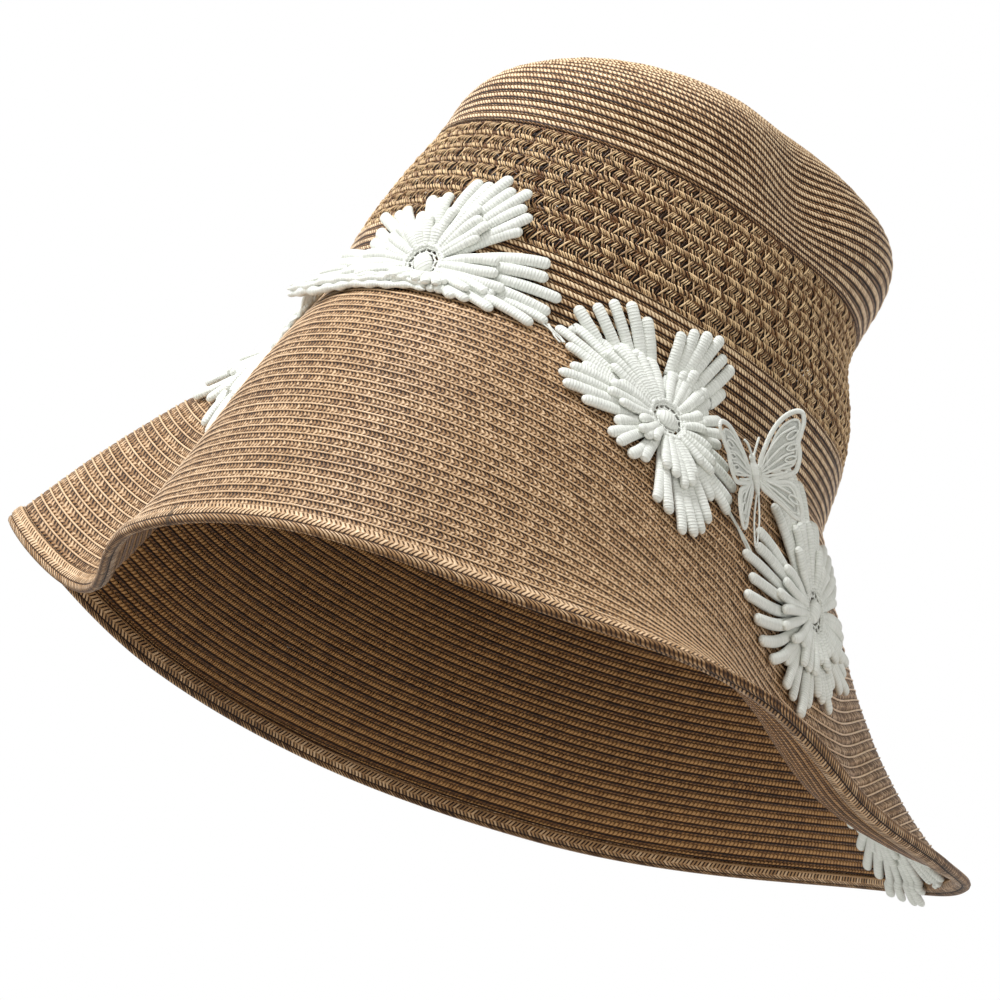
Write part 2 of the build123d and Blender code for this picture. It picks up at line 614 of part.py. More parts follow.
def main():
    os.makedirs("parts", exist_ok=True)
    export(tip_coil(), "crown_tip_coil")
    export(strip(spread(OPENWORK_CLIMB + SEAM_GAP, TIP_CLIMB, 7), BRAID_THICKNESS), "crown_top_braid")
    for row in range(OPENWORK_ROWS):
        low = SIDE_BRAID_RISE + row * OPENWORK_PITCH
        export(strip([low + SEAM_GAP, low + OPENWORK_PITCH], BRAID_THICKNESS), f"openwork_row_{row + 1}")
    export(strip(spread(0.0, SIDE_BRAID_RISE, 3), BRAID_THICKNESS), "crown_side_braid")
    under_fold = BRIM_EDGE_CLIMB + RIM_FOLD_OVERLAP + SEAM_GAP
    export(strip(spread(-BRIM_START, under_fold, 8) + [BRIM_EDGE_CLIMB], BRAID_THICKNESS), "brim_braid")
    export(rim_braid(), "rim_braid")
    export(brim_wire(), "brim_wire")
    export(wire_sleeve(), "wire_sleeve")
    stand = -(BRAID_THICKNESS + SWEATBAND_THICKNESS) / 2 - SWEATBAND_CLEARANCE
    climbs = spread(SWEATBAND_START, SWEATBAND_START + SWEATBAND_WIDTH, 3)
    export(strip(climbs, SWEATBAND_THICKNESS, stand), "sweatband")
    for flower in FLOWERS:
        export(long_petals(flower), f"{flower}_long_petals")
        export(short_petals(flower), f"{flower}_short_petals")
        export(flower_button(flower), f"{flower}_button")
    for name, ends in LACE_LINKS.items():
        export(lace_link(*ends), name)
    export(butterfly_body(), "butterfly_body")
    export(butterfly_wing(-1), "butterfly_left_wing")
    export(butterfly_wing(1), "butterfly_right_wing")


main()
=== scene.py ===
"""Looks of the straw sun hat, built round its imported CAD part.

Sizes are millimetres and turn into metres where a mesh is made. Azimuths are degrees from the front
(-Y) towards the wearer's left (+X). A climb is a distance along the hat's profile from the headline:
up the crown when positive, out along the brim when negative. A stand is a distance outwards from the
middle of the straw.
"""
import math

import bpy
import numpy as np
from mathutils import Matrix, Vector


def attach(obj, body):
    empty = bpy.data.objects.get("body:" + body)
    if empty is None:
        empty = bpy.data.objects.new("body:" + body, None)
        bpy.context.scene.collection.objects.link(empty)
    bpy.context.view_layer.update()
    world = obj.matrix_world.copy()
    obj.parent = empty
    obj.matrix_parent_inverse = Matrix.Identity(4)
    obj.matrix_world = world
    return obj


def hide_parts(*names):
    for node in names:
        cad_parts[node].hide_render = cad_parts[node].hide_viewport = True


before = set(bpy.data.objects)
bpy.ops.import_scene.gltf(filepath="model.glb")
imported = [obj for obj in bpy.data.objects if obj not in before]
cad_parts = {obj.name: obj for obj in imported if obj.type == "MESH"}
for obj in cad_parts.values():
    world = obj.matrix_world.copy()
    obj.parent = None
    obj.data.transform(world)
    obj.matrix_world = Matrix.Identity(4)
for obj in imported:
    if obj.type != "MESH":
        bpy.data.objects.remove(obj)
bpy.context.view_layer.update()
MM = 0.001

# ---------------- shape of the hat

HEAD_WIDTH, HEAD_LENGTH = 168.0, 202.0
BRAID_THICKNESS = 1.8
CROWN_HEIGHT = 119.0
CROWN_PROFILE = np.array([
    (1.0, 0.0), (0.992, 0.118), (0.975, 0.244), (0.925, 0.42), (0.868, 0.58), (0.838, 0.706),
    (0.785, 0.79), (0.68, 0.866), (0.53, 0.924), (0.34, 0.966), (0.15, 0.993), (0.0, 1.0),
])
CROWN_LEAN, CROWN_LEAN_AZIMUTH = 4.5, 140.0
# dents: azimuth, height, spread in degrees, spread in height, how far in, how far down
CROWN_DENTS = [
    (72.0, 90.0, 20.0, 18.0, 7.0, 6.0),
    (124.0, 88.0, 26.0, 17.0, -3.5, -5.0),
    (128.0, 57.0, 40.0, 15.0, 5.0, 0.0),
    (-20.0, 104.0, 55.0, 13.0, 3.0, 0.0),
]
SIDE_BRAID_RISE = 22.5
OPENWORK_ROWS, OPENWORK_PITCH = 7, 6.35
OPENWORK_CLIMB = SIDE_BRAID_RISE + OPENWORK_ROWS * OPENWORK_PITCH
BRIM_WIDTH = 127.0
# waves of the brim, fuller over the front bulge and deeper in the fold beside it than in the part:
# azimuth, mean droop, droop at the headline, droop at the rim
BRIM_WAVES = np.array([
    (-90, 70, 54, 78), (-76, 58, 42, 66), (-64, 53, 43, 62), (-52, 70, 64, 66), (-40, 76, 80, 66),
    (-26, 75, 66, 69), (-8, 66, 47, 63), (15, 57, 43, 58), (40, 53, 48, 46), (65, 47, 55, -2),
    (90, 51, 59, -26), (112, 48, 57, -20), (135, 43, 55, 22), (165, 41, 48, 28), (200, 57, 54, 56),
    (235, 69, 60, 74),
], float)
BRIM_TENSION = 0.36
FOLD_INNER_EDGE = -120.5      # where the folded rim braid begins
DIFFERENCE = 0.5              # step in degrees and in millimetres for the directions on the straw


def hermite(a, b, slope_a, slope_b, span, t):
    bend = 2 * t ** 3 - 3 * t ** 2
    ease_out, ease_in = t ** 3 - 2 * t ** 2 + t, t ** 3 - t ** 2
    return a * (1 + bend) - b * bend + span * (slope_a * ease_out + slope_b * ease_in)


def through(x, y, place):
    """Smooth value at a place between stations. The first and the last station only set slopes."""
    slopes = (y[2:] - y[:-2]) / (x[2:] - x[:-2])
    i = np.clip(np.searchsorted(x[1:-1], place, side="right") - 1, 0, len(x) - 4)
    span = x[i + 2] - x[i + 1]
    return hermite(y[i + 1], y[i + 2], slopes[i], slopes[i + 1], span, (place - x[i + 1]) / span)


def run_along(points):
    """Length of a line from its first point up to each."""
    steps = np.linalg.norm(np.diff(points, axis=-2), axis=-1)
    return np.concatenate([np.zeros(steps.shape[:-1] + (1,)), np.cumsum(steps, axis=-1)], axis=-1)


FULL_TURN = (360, 0, 0, 0)
WAVES_AROUND = np.concatenate([BRIM_WAVES[-1:] - FULL_TURN, BRIM_WAVES, BRIM_WAVES[:2] + FULL_TURN])
CROWN_LENGTHS = run_along(CROWN_PROFILE * ((HEAD_WIDTH + HEAD_LENGTH) / 4, CROWN_HEIGHT))
CROWN_CLIMB = CROWN_LENGTHS[-1]


def wave(azimuth, column):
    """Smooth value of one column of the brim's waves."""
    first = BRIM_WAVES[0, 0]
    return through(WAVES_AROUND[:, 0], WAVES_AROUND[:, column], (azimuth - first) % 360 + first)


def head_radius(azimuth):
    across, along = HEAD_WIDTH / 2, HEAD_LENGTH / 2
    turn = np.radians(azimuth)
    return across * along / np.hypot(along * np.sin(turn), across * np.cos(turn))


def crown_profile(climb):
    """Share of the head's radius, and height."""
    lengths = np.pad(CROWN_LENGTHS, 1, "edge")
    share, height = [through(lengths, np.pad(column, 1, "edge"), climb) for column in CROWN_PROFILE.T]
    return share, height * CROWN_HEIGHT


def on_axis(azimuth, radius, height):
    turn = np.radians(azimuth)
    return np.stack([radius * np.sin(turn), -radius * np.cos(turn), height], axis=-1)


def crown_point(azimuth, climb):
    share, height = crown_profile(np.maximum(climb, 0.0))
    radius = head_radius(azimuth) * share
    lean = CROWN_LEAN * share * (height / CROWN_HEIGHT) ** 2
    rise = lean * np.cos(np.radians(azimuth - CROWN_LEAN_AZIMUTH))
    for middle, level, spread, rise_spread, inward, down in CROWN_DENTS:
        turn = (azimuth - middle + 180) % 360 - 180
        depth = np.exp(-(turn / spread) ** 2 - ((height - level) / rise_spread) ** 2)
        depth = depth * np.minimum(1.0, 1.6 * share)
        radius = radius - inward * depth
        rise = rise - down * depth
    return on_axis(azimuth, radius, height + rise)


def brim_point(azimuth, climb):
    out = np.maximum(-climb, 0.0) / BRIM_WIDTH
    droop, start, end = [np.radians(wave(azimuth, column)) for column in (1, 2, 3)]
    r0 = head_radius(azimuth)
    r3, z3 = r0 + BRIM_WIDTH * np.cos(droop), -BRIM_WIDTH * np.sin(droop)
    handle = BRIM_TENSION * BRIM_WIDTH
    r1, z1 = r0 + handle * np.cos(start), -handle * np.sin(start)
    r2, z2 = r3 - handle * np.cos(end), z3 + handle * np.sin(end)
    a, b, c, d = (1 - out) ** 3, 3 * (1 - out) ** 2 * out, 3 * (1 - out) * out ** 2, out ** 3
    return on_axis(azimuth, a * r0 + b * r1 + c * r2 + d * r3, b * z1 + c * z2 + d * z3)


def hat_point(azimuth, climb):
    azimuth, climb = np.broadcast_arrays(np.asarray(azimuth, float), np.asarray(climb, float))
    return np.where((climb >= 0)[..., None], crown_point(azimuth, climb), brim_point(azimuth, climb))


def unit(v):
    return v / np.maximum(np.linalg.norm(v, axis=-1, keepdims=True), 1e-9)


def hat_frame(azimuth, climb):
    """Point, outward normal and eastward direction on the middle of the straw."""
    azimuth, climb = np.broadcast_arrays(np.asarray(azimuth, float), np.asarray(climb, float))
    crown = climb >= 0
    low = np.where(crown, np.maximum(climb - DIFFERENCE, 0.0), climb - DIFFERENCE)
    high = np.minimum(climb + DIFFERENCE, np.where(crown, CROWN_CLIMB, 0.0))

    def change(a, b):
        return np.where(crown[..., None], crown_point(*b) - crown_point(*a), brim_point(*b) - brim_point(*a))

    east = change((azimuth - DIFFERENCE, climb), (azimuth + DIFFERENCE, climb))
    up = change((azimuth, low), (azimuth, high))
    return hat_point(azimuth, climb), unit(np.cross(east, up)), unit(east)


def straw_point(azimuth, climb, stand):
    point, normal, _ = hat_frame(azimuth, climb)
    return point + normal * np.asarray(stand)[..., None]


def row_radius(climb):
    """Mean distance of a row from the axis."""
    around_hat = np.arange(0, 360, 15.0)
    points = hat_point(around_hat[None, :], np.atleast_1d(climb)[:, None])
    return np.hypot(points[..., 0], points[..., 1]).mean(axis=1)


# ---------------- meshes

def grid(along, across):
    """UVs of a strip, from the lengths along it and the places across it."""
    return np.stack(np.broadcast_arrays(along[..., None], across), axis=-1)


def mesh_piece(name, points, faces, uv, tone, material, node=(), body="hat"):
    """Mesh object from points in millimetres, quads, and per-point UVs and tones."""
    mesh = bpy.data.meshes.new(name)
    faces = np.asarray(faces, np.int32)
    points = np.asarray(points, float).reshape(-1, 3)
    count, corners = faces.shape
    mesh.vertices.add(len(points))
    mesh.vertices.foreach_set("co", (points * MM).astype(np.float32).ravel())
    mesh.loops.add(count * corners)
    mesh.loops.foreach_set("vertex_index", faces.ravel())
    mesh.polygons.add(count)
    mesh.polygons.foreach_set("loop_start", np.arange(0, count * corners, corners, dtype=np.int32))
    mesh.update(calc_edges=True)
    mesh.validate()
    mesh.shade_smooth()
    layer = mesh.uv_layers.new(name="braid")
    layer.data.foreach_set("uv", np.asarray(uv, np.float32).reshape(-1, 2)[faces.ravel()].ravel())
    layer = mesh.attributes.new("tone", "FLOAT", "POINT")
    layer.data.foreach_set("value", np.broadcast_to(tone, len(points)).astype(np.float32))
    mesh.materials.append(material)
    piece = bpy.data.objects.new(name, mesh)
    bpy.context.scene.collection.objects.link(piece)
    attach(piece, body)
    if node:
        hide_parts(*node)
    return piece


def strip_faces(stations, corners, closed_length=False):
    """Quads of a closed section swept through stations, point index = station * corners + corner."""
    i = np.arange(stations if closed_length else stations - 1)[:, None]
    j = np.arange(corners)[None, :]
    k, m = (i + 1) % stations, (j + 1) % corners
    quads = [i * corners + j, i * corners + m, k * corners + m, k * corners + j]
    return np.stack(quads, axis=-1).reshape(-1, 4)


def sweep(points, normals, half_widths, half_depths, corners=6):
    """Flattened bars along one path of (stations, 3) points, or along many at once of (paths, stations, 3)."""
    points = points.reshape(-1, *points.shape[-2:])
    paths, stations = points.shape[:2]
    tangent = unit(np.gradient(points, axis=1))
    side = unit(np.cross(tangent, normals))
    up = np.cross(side, tangent)
    turns = -0.5 * np.pi + 2 * np.pi * np.arange(corners) / corners
    wide, deep = [np.broadcast_to(half, (paths, stations))[..., None] * shape
                  for half, shape in ((half_widths, np.cos(turns)), (half_depths, np.sin(turns)))]
    rings = points[:, :, None] + side[:, :, None] * wide[..., None] + up[:, :, None] * deep[..., None]
    lids = []
    for first in (0, (stations - 1) * corners):
        for k in range(1, corners - 1, 2):
            quad = [first, first + k, first + k + 1, first + k + 2]
            lids.append(quad if first else quad[::-1])
    one = np.concatenate([strip_faces(stations, corners), np.array(lids)])
    faces = one[None] + (np.arange(paths) * stations * corners)[:, None, None]
    uv = grid(run_along(points), np.arange(corners) / corners)
    return rings.reshape(-1, 3), faces.reshape(-1, 4), uv.reshape(-1, 2)


def join(*parts):
    """One set of points, faces and UVs from several."""
    points, faces, uvs = zip(*parts)
    firsts = np.cumsum([0] + [len(p) for p in points[:-1]])
    faces = [f + first for f, first in zip(faces, firsts)]
    return np.concatenate(points), np.concatenate(faces), np.concatenate(uvs)


def rounded(points, steps, closed=False):
    """Smooth line of so many steps through a few points."""
    points = np.array(points, float)
    count = len(points)
    spans = count if closed else count - 1
    t = np.linspace(0, spans, steps + 1)[:-1 if closed else None]
    i = np.minimum(t.astype(int), spans - 1)
    before, a, b, after = [points[k % count if closed else np.clip(k, 0, count - 1)]
                           for k in (i - 1, i, i + 1, i + 2)]
    return hermite(a, b, (b - before) / 2, (after - a) / 2, 1.0, (t - i)[:, None])


def cord(places, half, normal, corners=8):
    """Nearly round cord through a few places."""
    return sweep(rounded(places, 8 * (len(places) - 1)), normal, half, 0.85 * half, corners)


def lace_piece(name, bars, material, node=(), body="hat", tone=0.0):
    """Piece of lace from its satin bars."""
    points, faces, uv = join(*bars)
    mesh_piece(name, points, faces, uv, tone, material, node=node, body=body)


def smooth_noise(x, seed, spacing):
    """Smooth random value from -1 to 1 along a length."""
    x = np.asarray(x, float) / spacing
    cell = np.floor(x).astype(int)
    t = x - cell
    ease = t * t * (3 - 2 * t)

    def at(i):
        return np.modf(np.abs(np.sin(i * 127.1 + seed * 311.7) * 43758.5453))[0] * 2 - 1

    return at(cell) * (1 - ease) + at(cell + 1) * ease


# ---------------- materials

class Value:
    """Output of a shader node. Arithmetic on it adds nodes."""

    def __init__(self, shader, socket):
        self.shader, self.socket = shader, socket

    def math(self, operation, *others):
        return self.shader.add("ShaderNodeMath", self, *others, operation=operation)

    def __add__(self, other):
        return self.math("ADD", other)

    def __sub__(self, other):
        return self.math("SUBTRACT", other)

    def __mul__(self, other):
        return self.math("MULTIPLY", other)

    def __truediv__(self, other):
        return self.math("DIVIDE", other)

    def __gt__(self, other):
        return self.math("GREATER_THAN", other)

    def __abs__(self):
        return self.math("ABSOLUTE")

    def whole(self):
        return self.math("FLOOR")

    def part(self):
        return self.math("FRACT")

    def arch(self):
        """Half a sine wave to each unit."""
        return (self * math.pi).math("SINE")

    def remap(self, low, high, to_low=0.0, to_high=1.0):
        return self.shader.add("ShaderNodeMapRange", self, low, high, to_low, to_high)


class Shader:
    """A node material under construction. Values are numbers, colours or node outputs."""

    def __init__(self, name):
        self.material = bpy.data.materials.new(name)
        self.material.use_nodes = True
        self.tree = self.material.node_tree
        self.tree.nodes.clear()
        output = self.tree.nodes.new("ShaderNodeOutputMaterial")
        self.surface = self.tree.nodes.new("ShaderNodeBsdfPrincipled")
        self.tree.links.new(self.surface.outputs[0], output.inputs["Surface"])

    def put(self, value, socket):
        if isinstance(value, Value):
            self.tree.links.new(value.socket, socket)
        elif value is not None:
            socket.default_value = value

    def add(self, kind, *values, output=0, sockets=(), **settings):
        """New node with values on its first sockets, or on the named ones."""
        made = self.tree.nodes.new(kind)
        for key, value in settings.items():
            setattr(made, key, value)
        for key, value in zip(sockets or range(len(values)), values):
            self.put(value, made.inputs[key])
        return Value(self, made.outputs[output])

    def uv(self):
        """The two braid coordinates: length along the braid in mm, and place across it."""
        split = self.add("ShaderNodeSeparateXYZ", self.add("ShaderNodeUVMap", uv_map="braid"))
        return split, Value(self, split.socket.node.outputs[1])

    def tone(self):
        return self.add("ShaderNodeAttribute", attribute_name="tone", output=2)

    def mix(self, factor, a, b):
        return self.add("ShaderNodeMix", factor, None, a, b)

    def noise(self, *place, scale=1.0, detail=2.0):
        vector = self.add("ShaderNodeCombineXYZ", *place) if place else None
        return self.add("ShaderNodeTexNoise", vector, scale, detail, sockets=("Vector", "Scale", "Detail"))

    def chance(self, *place):
        """Random value of its own for each place."""
        return self.add("ShaderNodeTexWhiteNoise", self.add("ShaderNodeCombineXYZ", *place))

    def ramp(self, value, places, codes):
        """Colour that runs through the colours at their places."""
        made = self.add("ShaderNodeValToRGB", value)
        elements = made.socket.node.color_ramp.elements
        while len(elements) < len(places):
            elements.new(0.5)
        for element, place, code in zip(elements, places, codes):
            element.position, element.color = place, colour(code)
        return made

    def bump(self, height, depth):
        return self.add("ShaderNodeBump", depth * MM, height, sockets=("Distance", "Height"))

    def finish(self, shade, roughness, normal=None, **sockets):
        named = {name.replace("_", " "): value for name, value in sockets.items()}
        for name, value in {"Base Color": shade, "Roughness": roughness, "Normal": normal, **named}.items():
            self.put(value, self.surface.inputs[name])
        return self.material


def colour(code):
    """Linear colour of a screen colour such as B8946A."""
    parts = [int(code[i:i + 2], 16) / 255 for i in (0, 2, 4)]
    return tuple(p / 12.92 if p <= 0.04045 else ((p + 0.055) / 1.055) ** 2.4 for p in parts) + (1.0,)


def paper_straw(shader, u, across, lit, relief, palette, depth):
    """Mottled paper straw, from the palette's groove colour, a painted shade, to its lit one, partly a painted
    highlight, glossier where it stands high.
    """
    mottle = (shader.noise(u * 2.6, across * 15.0, detail=3.0) - 0.5) * 0.4
    shade = shader.ramp(lit + mottle + shader.tone() * 0.09, (0.04, 0.24, 0.52, 0.92), palette)
    return shader.finish(shade, relief.remap(0.0, 1.0, 0.72, 0.38), shader.bump(relief, depth),
                         Specular_IOR_Level=0.3, Sheen_Weight=0.05, Sheen_Roughness=0.4)


def chevrons(shader, u, across, pitch, lean):
    """Two columns of strands that meet in a V: height of a strand, place off the middle, and its own chance."""
    off = abs(across - 0.5) * 2.0
    run = u / pitch + off * lean
    return run.part().arch(), off, shader.chance(run.whole(), across > 0.5)


def knit_straw(name, pitch, lean, palette, depth):
    """Rows of a thin dim strand and a thick bright rope of slanted strands, with painted shade in the grooves
    between.
    """
    thin = 0.375              # share of the row that the thin strand takes
    shader = Shader(name)
    u, v = shader.uv()
    across = v.part()
    rope = across > thin
    place = shader.mix(rope, across / thin, across.remap(thin, 1.0))
    run = u / pitch + place * lean
    # lit on each strand's crest, with painted shade in the grooves between strands and at the edges of the thin
    # strand and the rope
    relief = run.part().arch().remap(0.05, 0.9, 0.35, 1.0) * place.arch().remap(0.22, 0.78)
    chance = shader.chance(run.whole(), rope).remap(0.0, 1.0, 0.68, 1.12)
    bright = chance * rope.remap(0.0, 1.0, 0.6, 1.1)
    return paper_straw(shader, u, across, relief * bright, relief, palette, depth)


def ridged_straw(name, pitch, palette, depth):
    """Rows of small V strands with painted shade in the gaps between them, and a smooth light line along one
    edge, brightest along its ridge as a painted highlight.
    """
    line_edge = 0.6           # place across the row where the light line begins
    shader = Shader(name)
    u, v = shader.uv()
    across = v.part()
    hump, off, chance = chevrons(shader, u, across / line_edge, pitch, 0.75)
    # painted shade in the gaps between the V strands, in the groove before the light line and at the row's
    # inner edge (seam)
    gap_shade = hump.remap(0.9, 0.4) * off.remap(0.0, 0.45, 0.3, 1.0)
    rift_shade, seam = abs(across - line_edge).remap(0.05, 0.01), across.remap(0.06, 0.0)
    strand = chance.remap(0.0, 1.0, 0.38, 0.84) - gap_shade * 0.68 - (rift_shade * 0.3 + seam * 0.3)
    line = across.remap(0.58, 1.0).arch() * 0.62 + shader.noise(u * 0.35, 0.0) * 0.5
    lit = shader.mix(across.remap(0.61, 0.66), strand, line)
    return paper_straw(shader, u, across, lit, lit, palette, depth)


def edging_straw(name, pitch, palette, depth):
    """Folded rim braid: a twisted cord along the edge, a band of chevrons and a light line inside it."""
    cord_edge = 0.31          # place across the fold where the cord meets the chevrons
    shader = Shader(name)
    u, v = shader.uv()
    twist = u / pitch + v * 8.0
    v = abs(v)
    # the cord is painted lighter on each strand's crest and along its middle and darker between the strands:
    # painted light and shade, with a random tone for each strand
    rope = twist.part().arch().remap(0.2, 0.85, 0.08, 1.0) * v.remap(-0.02, cord_edge).arch().remap(0.0, 0.5)
    rope = rope * shader.chance(twist.whole(), 3.0).remap(0.0, 1.0, 0.42, 0.85)
    # painted shade in the gaps between the chevron strands and in the groove beside the cord
    hump, off, chance = chevrons(shader, u, v.remap(cord_edge, 0.9), pitch, 0.95)
    gap_shade = hump.remap(0.8, 0.2) * off.remap(0.0, 0.35, 0.2, 1.0)
    groove_shade = abs(v - cord_edge).remap(0.045, 0.0)
    strand = chance.remap(0.0, 1.0, 0.62, 1.0) - gap_shade * 0.75 - groove_shade * 0.7
    strand = shader.mix(v.remap(0.88, 0.93), strand, 0.8)
    lit = shader.mix(v.remap(0.29, 0.33), rope, strand)
    return paper_straw(shader, u, v, lit, lit, palette, depth)


def strand_straw(name, palette):
    """Single flattened strand of paper straw, glossy along its length."""
    shader = Shader(name)
    u, v = shader.uv()
    fibre = shader.noise(u * 0.5, v * 22.0, detail=3.0)
    # lighter on the face that looks out from the hat and darker behind: painted light and shade, with fibre and
    # the piece's tone
    tone = v.arch() * 0.28 + fibre * 0.35 + shader.tone() * 0.33
    return shader.finish(shader.ramp(tone, (0.05, 0.42, 0.85), palette), 0.42, shader.bump(fibre, 0.08),
                         Specular_IOR_Level=0.35, Sheen_Weight=0.04)


def grosgrain(name, palette):
    """Ribbon with close ribs across its length."""
    rib_pitch = 0.55
    shader = Shader(name)
    u, v = shader.uv()
    rib, warp = abs((u / rib_pitch).arch()), shader.noise(u * 3.0, v * 90.0) * 0.4
    # lighter on the ribs' crests and darker between them: painted light and shade, with a random warp
    shade = shader.ramp(rib * 0.6 + warp, (0.1, 0.9), palette)
    return shader.finish(shade, 0.6, shader.bump(rib + warp, 0.12), Specular_IOR_Level=0.3, Sheen_Weight=0.2)


def satin_stitch(name, code, thread_pitch):
    """Glossy cotton: fine threads side by side across each bar."""
    shader = Shader(name)
    u, v = shader.uv()
    run = u / thread_pitch + shader.noise(u * 0.8, v * 2.0) * 1.3
    thread, chance = abs(run.arch()), shader.chance(run.whole(), shader.tone())
    # lighter on each thread's crest and darker between threads: painted light and shade, with a random tone for
    # each thread
    shade = shader.ramp(thread * 0.55 + chance * 0.45, (0.0, 0.3, 1.0), ("CDCFC8", code, "EEEFE8"))
    return shader.finish(shade, 0.55, shader.bump(thread + chance * 0.5, 0.12), Specular_IOR_Level=0.35,
                         Sheen_Weight=0.25, Sheen_Roughness=0.35)


def brushed_steel(name):
    shader = Shader(name)
    shade = shader.ramp(shader.noise(scale=900.0), (0.3, 0.7), ("8A8C8E", "B4B6B8"))
    return shader.finish(shade, 0.35, Metallic=1.0)


# a straw's palette runs from the groove between strands, a painted shade, through dark and middle to a lit
# strand, partly its own light colour and partly a painted highlight
TAN = ridged_straw("tan straw outside", 1.3, ("2C1A0C", "644426", "9E784E", "E6C6A0"), 0.35)
# the inside straws are darker copies of the outside ones: painted shade on the back of the rows
TAN_INSIDE_SHADED = knit_straw("tan straw inside painted shade", 1.3, 1.3, ("1C0D05", "4A2C14", "80552B", "C0905A"), 0.4)
BROWN = knit_straw("brown straw outside", 1.45, 1.7, ("120602", "50321A", "A0764C", "FADDB4"), 0.5)
BROWN_INSIDE_SHADED = knit_straw("brown straw inside painted shade", 1.2, 1.4, ("100703", "331D0C", "5C3B1D", "8A6238"), 0.4)
STRAND = strand_straw("openwork straw", ("1E0E05", "7A5028", "E9C898"))
RIM_STRAW = edging_straw("rim straw", 1.5, ("2A180B", "684626", "AA8256", "E6C6A0"), 0.4)
RIBBON = grosgrain("ribbon", ("1E130B", "4A3220"))
LACE = satin_stitch("lace", "E0E2DA", 1.0)
LACE_CORD = satin_stitch("lace cord", "EEF0E8", 0.45)
LACE_FILL = satin_stitch("lace filling", "E0E3DA", 0.3)
STEEL = brushed_steel("steel wire")


# ---------------- sewn rows

BRIM_TOP, BRIM_END, BRIM_ROWS = -0.9, -120.7, 35
SIDE_TOP, SIDE_END, SIDE_ROWS = SIDE_BRAID_RISE - 0.2, 0.4, 7
TOP_END, TOP_ROWS = OPENWORK_CLIMB + 0.4, 35
# section of a row: (across, stand) points of its outer face and its back, and half its width in pitches
CROWN_ROW = (
    [(-1.0, -0.2), (-0.84, 0.52), (-0.64, 0.72), (-0.42, 0.48), (-0.14, 0.85), (0.18, 1.12), (0.5, 1.08),
     (0.82, 0.62), (1.0, -0.2)],
    [(0.7, -0.75), (0.0, -0.6), (-0.7, -0.75)], 0.51,
)
BRIM_ROW = (
    [(-1.0, 0.1), (-0.9, 0.55), (-0.6, 0.78), (-0.2, 0.82), (0.2, 0.76), (0.48, 0.5), (0.6, 0.92),
     (0.76, 1.15), (0.92, 0.85), (1.0, 0.2)],
    [(0.8, -0.62), (0.3, -0.85), (0.0, -0.55), (-0.3, -0.85), (-0.8, -0.62)], 0.53,
)
CROWN_ROW_STEP, BRIM_ROW_STEP = 1.7, 2.0    # spacing of the points along a row
ROW_TAPER_END = 0.05          # share of its width that a row keeps at the ends of the spiral


def sewn_rows(name, node, top, end, rows, row, outside, inside, seed, step=CROWN_ROW_STEP, parts=1):
    """Braid sewn in a spiral down from one climb to another, tapered at both ends to lie level."""
    pitch = (top - end) / rows
    outer, back, half_width = row
    across, stand = np.array(outer + back).T
    across = across * pitch * half_width
    corners = len(across)

    def edges(turn):
        return np.clip(turn - 1, 0, rows), np.clip(turn, 0, rows)

    turns = np.arange(0, rows + 1, 0.01)
    radii = row_radius(top - pitch * sum(edges(turns)) / 2)
    length = np.concatenate([[0], np.cumsum(np.pi * (radii[1:] + radii[:-1]) * np.diff(turns))])
    along = np.linspace(0, length[-1], int(length[-1] / step))
    turn = np.interp(along, length, turns)
    above, below = edges(turn)
    share = np.maximum(below - above, ROW_TAPER_END)
    wander = 0.10 * smooth_noise(along, seed, 37.0) + 0.05 * smooth_noise(along, seed + 1, 9.0)
    middle = top - pitch * (above + below) / 2 + wander * share
    puff = 1 + 0.10 * smooth_noise(along, seed + 2, 5.0)
    climb = middle[:, None] + across * share[:, None]
    points = straw_point(turn[:, None] * 360.0, climb, stand * puff[:, None])
    tone = 0.5 * smooth_noise(along, seed + 3, 60.0) + 0.5 * smooth_noise(along, seed + 4, 14.0)
    # v runs from 0 to 1 over the outer face, and from 2 down to 1 over the back
    v = np.concatenate([np.linspace(0.001, 0.999, len(outer)),
                        1.999 - 0.998 * np.arange(1, len(back) + 1) / (len(back) + 1)])
    uv = grid(along, v)
    bounds = np.linspace(0, len(along) - 1, parts + 1).astype(int)
    for part, (a, b) in enumerate(zip(bounds, bounds[1:] + 1)):
        piece = mesh_piece(
            name if parts == 1 else f"{name}_{part + 1}", points[a:b], strip_faces(b - a, corners), uv[a:b],
            np.repeat(tone[a:b], corners), outside, node=() if part else node,
        )
        # the back faces take the darker inside straw, a painted shade
        piece.data.materials.append(inside)
        at_back = np.tile(np.arange(corners) >= len(outer) - 1, b - a - 1)
        piece.data.polygons.foreach_set("material_index", at_back.astype(np.int32))


def close_rows():
    """Brim, side of the crown and top of the crown."""
    sewn_rows("brim_rows", ("brim_braid",), BRIM_TOP, BRIM_END, BRIM_ROWS, BRIM_ROW, TAN,
              TAN_INSIDE_SHADED, seed=3, step=BRIM_ROW_STEP, parts=3)
    sewn_rows("crown_side_rows", ("crown_side_braid",), SIDE_TOP, SIDE_END, SIDE_ROWS, CROWN_ROW,
              BROWN, BROWN_INSIDE_SHADED, seed=11)
    sewn_rows("crown_top_rows", ("crown_top_braid", "crown_tip_coil"), CROWN_CLIMB, TOP_END,
              TOP_ROWS, CROWN_ROW, BROWN, BROWN_INSIDE_SHADED, seed=17)


# ---------------- openwork

OPENWORK_MOTIFS = 69          # in one row
V_PAIRS, LOWER_BARS, UPPER_BARS = 6, 9, 7
STRAND_POINTS, STRAND_CORNERS = 6, 6
# cords along a row: height, height of their wave, its phase, stand, half width and half depth
OPENWORK_CORDS = [
    (-0.41, 0.02, 0.0, 0.0, 0.62, 0.45), (0.44, 0.02, 1.0, -0.15, 0.45, 0.4),
    (0.12, 0.20, 0.0, -0.35, 0.42, 0.28), (-0.12, 0.20, 2.2, -0.45, 0.40, 0.28),
    (0.0, 0.26, 4.0, -0.5, 0.34, 0.24),
]


